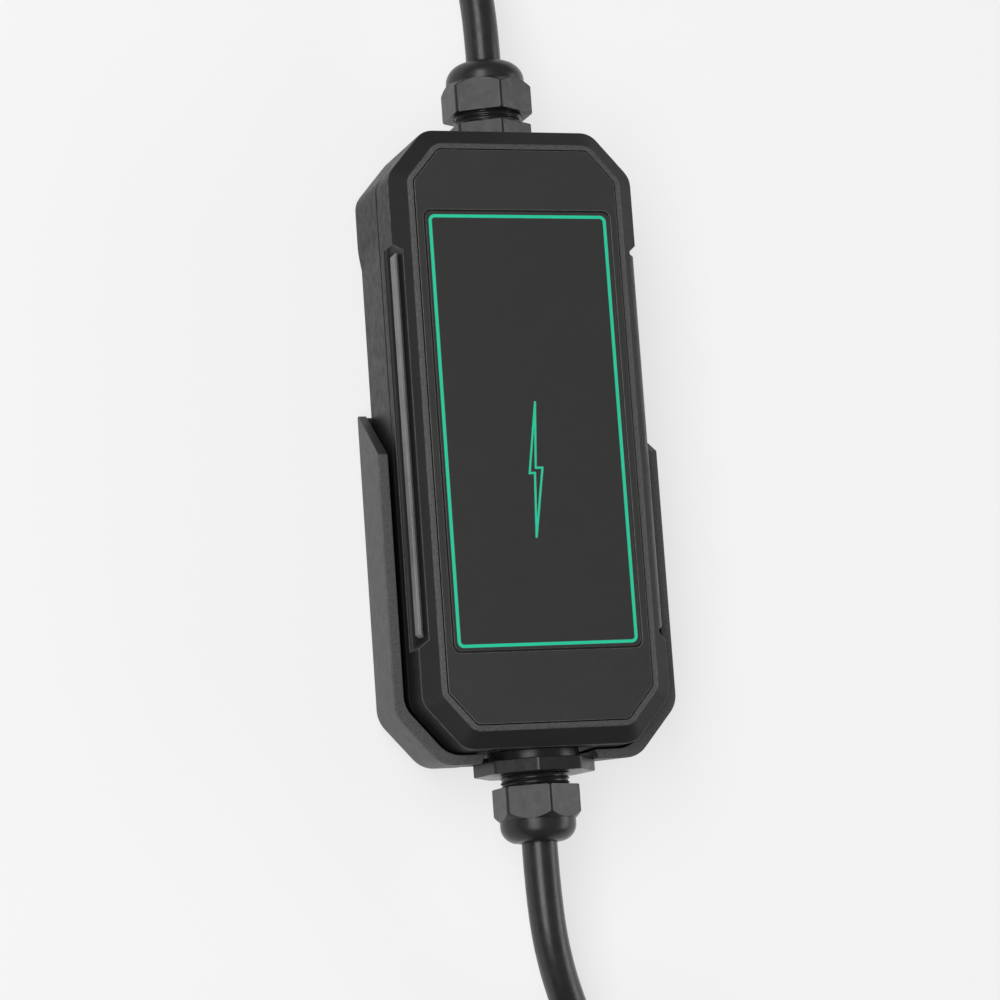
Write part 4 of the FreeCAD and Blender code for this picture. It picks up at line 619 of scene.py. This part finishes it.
def strain_relief(node, axis, way):
    """A tapered sleeve with rings cut into it, so that it bends evenly. way is 1 where its thin end is at high Y."""
    low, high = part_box(node)
    length = (high[1] - low[1]) / MM
    base = (high[0] - low[0]) / MM / 2
    tip = base * RELIEF_TIP
    start = (low[1] if way > 0 else high[1]) / MM
    inside = CABLE_RADIUS + RELIEF_PLAY
    rows = [(0, inside), (0, base - RELIEF_ROUND), (RELIEF_ROUND, base)]
    for height in spaced(RELIEF_ENDS, length - RELIEF_ENDS, RELIEF_ROWS):
        along = height / length
        radius = base + (tip - base) * along
        if RING_SPAN[0] < along < RING_SPAN[1]:
            wave = RING_SLOPE * math.cos(2 * math.pi * height / RING_PITCH) - RING_SHIFT
            radius -= RING_DEPTH * min(max(wave, 0), 1)
        rows.append((height, radius))
    rows += [(length, tip - RELIEF_ROUND), (length, inside)]
    turned(node, node + "_ringed", rows, (axis[0], start, axis[1]), way, steps=RELIEF_STEPS)


for node, radius in SOFT_EDGES.items():
    softened(node, radius)
for side, gland in GLANDS.items():
    gland_body(side, gland)
    gland_nut(side, gland)
strain_relief("plug_strain_relief", PLUG_AXIS, -1)
strain_relief("connector_strain_relief", CONNECTOR_AXIS, 1)


# Cords: one smooth line each, from the gland through its coil to what is on its end


def ramp(value, start, end):
    """Smoothly from 0 at start to 1 at end."""
    share = min(max((value - start) / (end - start), 0), 1)
    return share * share * (3 - 2 * share)


def coil_place(coil, fold, turns):
    """A place along a folded coil, counted in turns from the near end of its right run."""
    quarter, share = divmod((turns % 1) * 4, 1)
    run = coil["run"]
    if quarter == 0:
        x, y = fold, run * (share - 0.5)
    elif quarter == 1:
        x, y = fold * math.cos(math.pi * share), run / 2 + fold * math.sin(math.pi * share)
    elif quarter == 2:
        x, y = -fold, run * (0.5 - share)
    else:
        x, y = -fold * math.cos(math.pi * share), -run / 2 - fold * math.sin(math.pi * share)
    return coil["centre"][0] + x, coil["centre"][1] + coil["way"] * y


def coil_stations(end, run_steps):
    """Places along a folded coil for the points of its line, closer together in its round ends."""
    stations = []
    for quarter in range(math.floor(COIL_START * 4), math.ceil(end * 4)):
        steps = run_steps if quarter % 2 == 0 else ARC_STEPS
        stations += [(quarter + step / steps) / 4 for step in range(steps)]
    return [turns for turns in stations if COIL_START - 1e-6 <= turns <= end]


def coil_points(coil):
    """Turns beside and on each other: the line moves inwards, outwards and up on its way."""
    points = []
    for turns in coil_stations(coil["end"], coil["run_steps"]):
        inwards, outwards, upwards = (
            sum(ramp(turns, *move) for move in coil[kind]) for kind in ("inwards", "outwards", "upwards"))
        fold = OUTER_FOLD - (OUTER_FOLD - INNER_FOLD) * (inwards - outwards)
        height = CABLE_RADIUS * (1 + 2 * upwards)
        points.append((*coil_place(coil, fold, turns), height))
    return points


def cable(name, points):
    curve = bpy.data.curves.new(name, "CURVE")
    curve.dimensions = "3D"
    curve.bevel_depth = CABLE_RADIUS * MM
    curve.bevel_resolution = 6
    curve.resolution_u = 8
    curve.use_fill_caps = True
    spline = curve.splines.new("NURBS")
    spline.points.add(len(points) - 1)
    for place, point in zip(spline.points, points):
        place.co = (*[value * MM for value in point], 1)
    spline.order_u = 3
    spline.use_endpoint_u = True
    curve.materials.append(materials["cable"])
    item = placed(name, curve)
    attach(item, "charger")
    return item


mains_cable = cable("mains_cable", MAINS_ROUTE + coil_points(COILS["mains"]) + PLUG_ROUTE)
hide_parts("mains_cord", "mains_coil", "plug_cord")
vehicle_cable = cable("vehicle_cable", VEHICLE_ROUTE + coil_points(COILS["vehicle"]) + CONNECTOR_ROUTE)
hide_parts("vehicle_cord", "vehicle_coil", "connector_cord")


# Camera, floor and light, in metres

# The camera's right, up and backward directions, its place and its lens, fitted to the photo
CAMERA_AXES = [
    (0.94628117, -0.07032572, 0.31560458),
    (0.0174519, 0.98574708, 0.16732638),
    (-0.32287364, -0.1528299, 0.93402122),
]
CAMERA_PLACE = (-0.3969, -0.2049, 1.1597)
CAMERA_LENS = 123.84
CAMERA_SENSOR = 36

# The floor's own tone, and the even tone that makes up most of what the camera and reflections see of it
FLOOR_TONE = 0.82
GLOW_TONE = 0.93
GLOW_SHARE = 0.72
FLOOR_HALF = 4
FLOOR_DROP = 0.0002

# Each lamp's place and target, its size along Y and across, and its power in watts
LAMPS = {
    "right_light": ((1.7, -0.15, 0.6), (0, 0, 0), (1.8, 0.8), 15),
    "left_light": ((-0.8, 0.1, 1.35), (0, 0.1, 0), (2.6, 0.8), 30),
}
WORLD_TONE = 0.9
WORLD_STRENGTH = 0.2


def grey(tone):
    return tone, tone, tone, 1


def make_camera():
    camera = bpy.data.cameras.new("camera")
    camera.lens = CAMERA_LENS
    camera.sensor_width = CAMERA_SENSOR
    viewer = placed("camera", camera)
    viewer.matrix_world = Matrix.Translation(CAMERA_PLACE) @ Matrix(CAMERA_AXES).transposed().to_4x4()
    bpy.context.scene.camera = viewer


def pale_material():
    """A matt pale floor, which the camera and reflections see as even, with soft shadows."""
    material, tree, shader = node_tree("floor")
    shader.inputs["Base Color"].default_value = grey(FLOOR_TONE)
    shader.inputs["Roughness"].default_value = 0.9
    shader.inputs["Specular IOR Level"].default_value = 0.1
    glow = add(tree, "ShaderNodeEmission", Color=grey(GLOW_TONE), Strength=1)
    path = tree.nodes.new("ShaderNodeLightPath")
    seen = path.outputs["Is Camera Ray"]
    for ray in ("Is Glossy Ray", "Is Transmission Ray"):
        seen = maths(tree, "MAXIMUM", seen, path.outputs[ray])
    mix = tree.nodes.new("ShaderNodeMixShader")
    tree.links.new(maths(tree, "MULTIPLY", seen, GLOW_SHARE), mix.inputs["Fac"])
    tree.links.new(shader.outputs["BSDF"], mix.inputs[1])
    tree.links.new(glow.outputs["Emission"], mix.inputs[2])
    tree.links.new(mix.outputs["Shader"], tree.nodes["Material Output"].inputs["Surface"])
    return material


def make_floor():
    shape = bmesh.new()
    bmesh.ops.create_grid(shape, x_segments=1, y_segments=1, size=FLOOR_HALF)
    mesh = bpy.data.meshes.new("floor")
    shape.to_mesh(mesh)
    shape.free()
    mesh.materials.append(pale_material())
    floor = placed("floor", mesh)
    floor.location.z = -FLOOR_DROP


def make_lamp(name, place, target, size, power):
    lamp = bpy.data.lights.new(name, "AREA")
    lamp.shape = "RECTANGLE"
    lamp.size, lamp.size_y = size
    lamp.energy = power
    item = placed(name, lamp)
    item.location = place
    item.rotation_euler = (Vector(target) - Vector(place)).to_track_quat("-Z", "Y").to_euler()


def make_world():
    world = bpy.data.worlds.new("studio")
    world.use_nodes = True
    background = world.node_tree.nodes["Background"]
    background.inputs["Color"].default_value = grey(WORLD_TONE)
    background.inputs["Strength"].default_value = WORLD_STRENGTH
    bpy.context.scene.world = world


make_camera()
make_floor()
for name, values in LAMPS.items():
    make_lamp(name, *values)
make_world()
bpy.context.scene.view_settings.view_transform = "Standard"
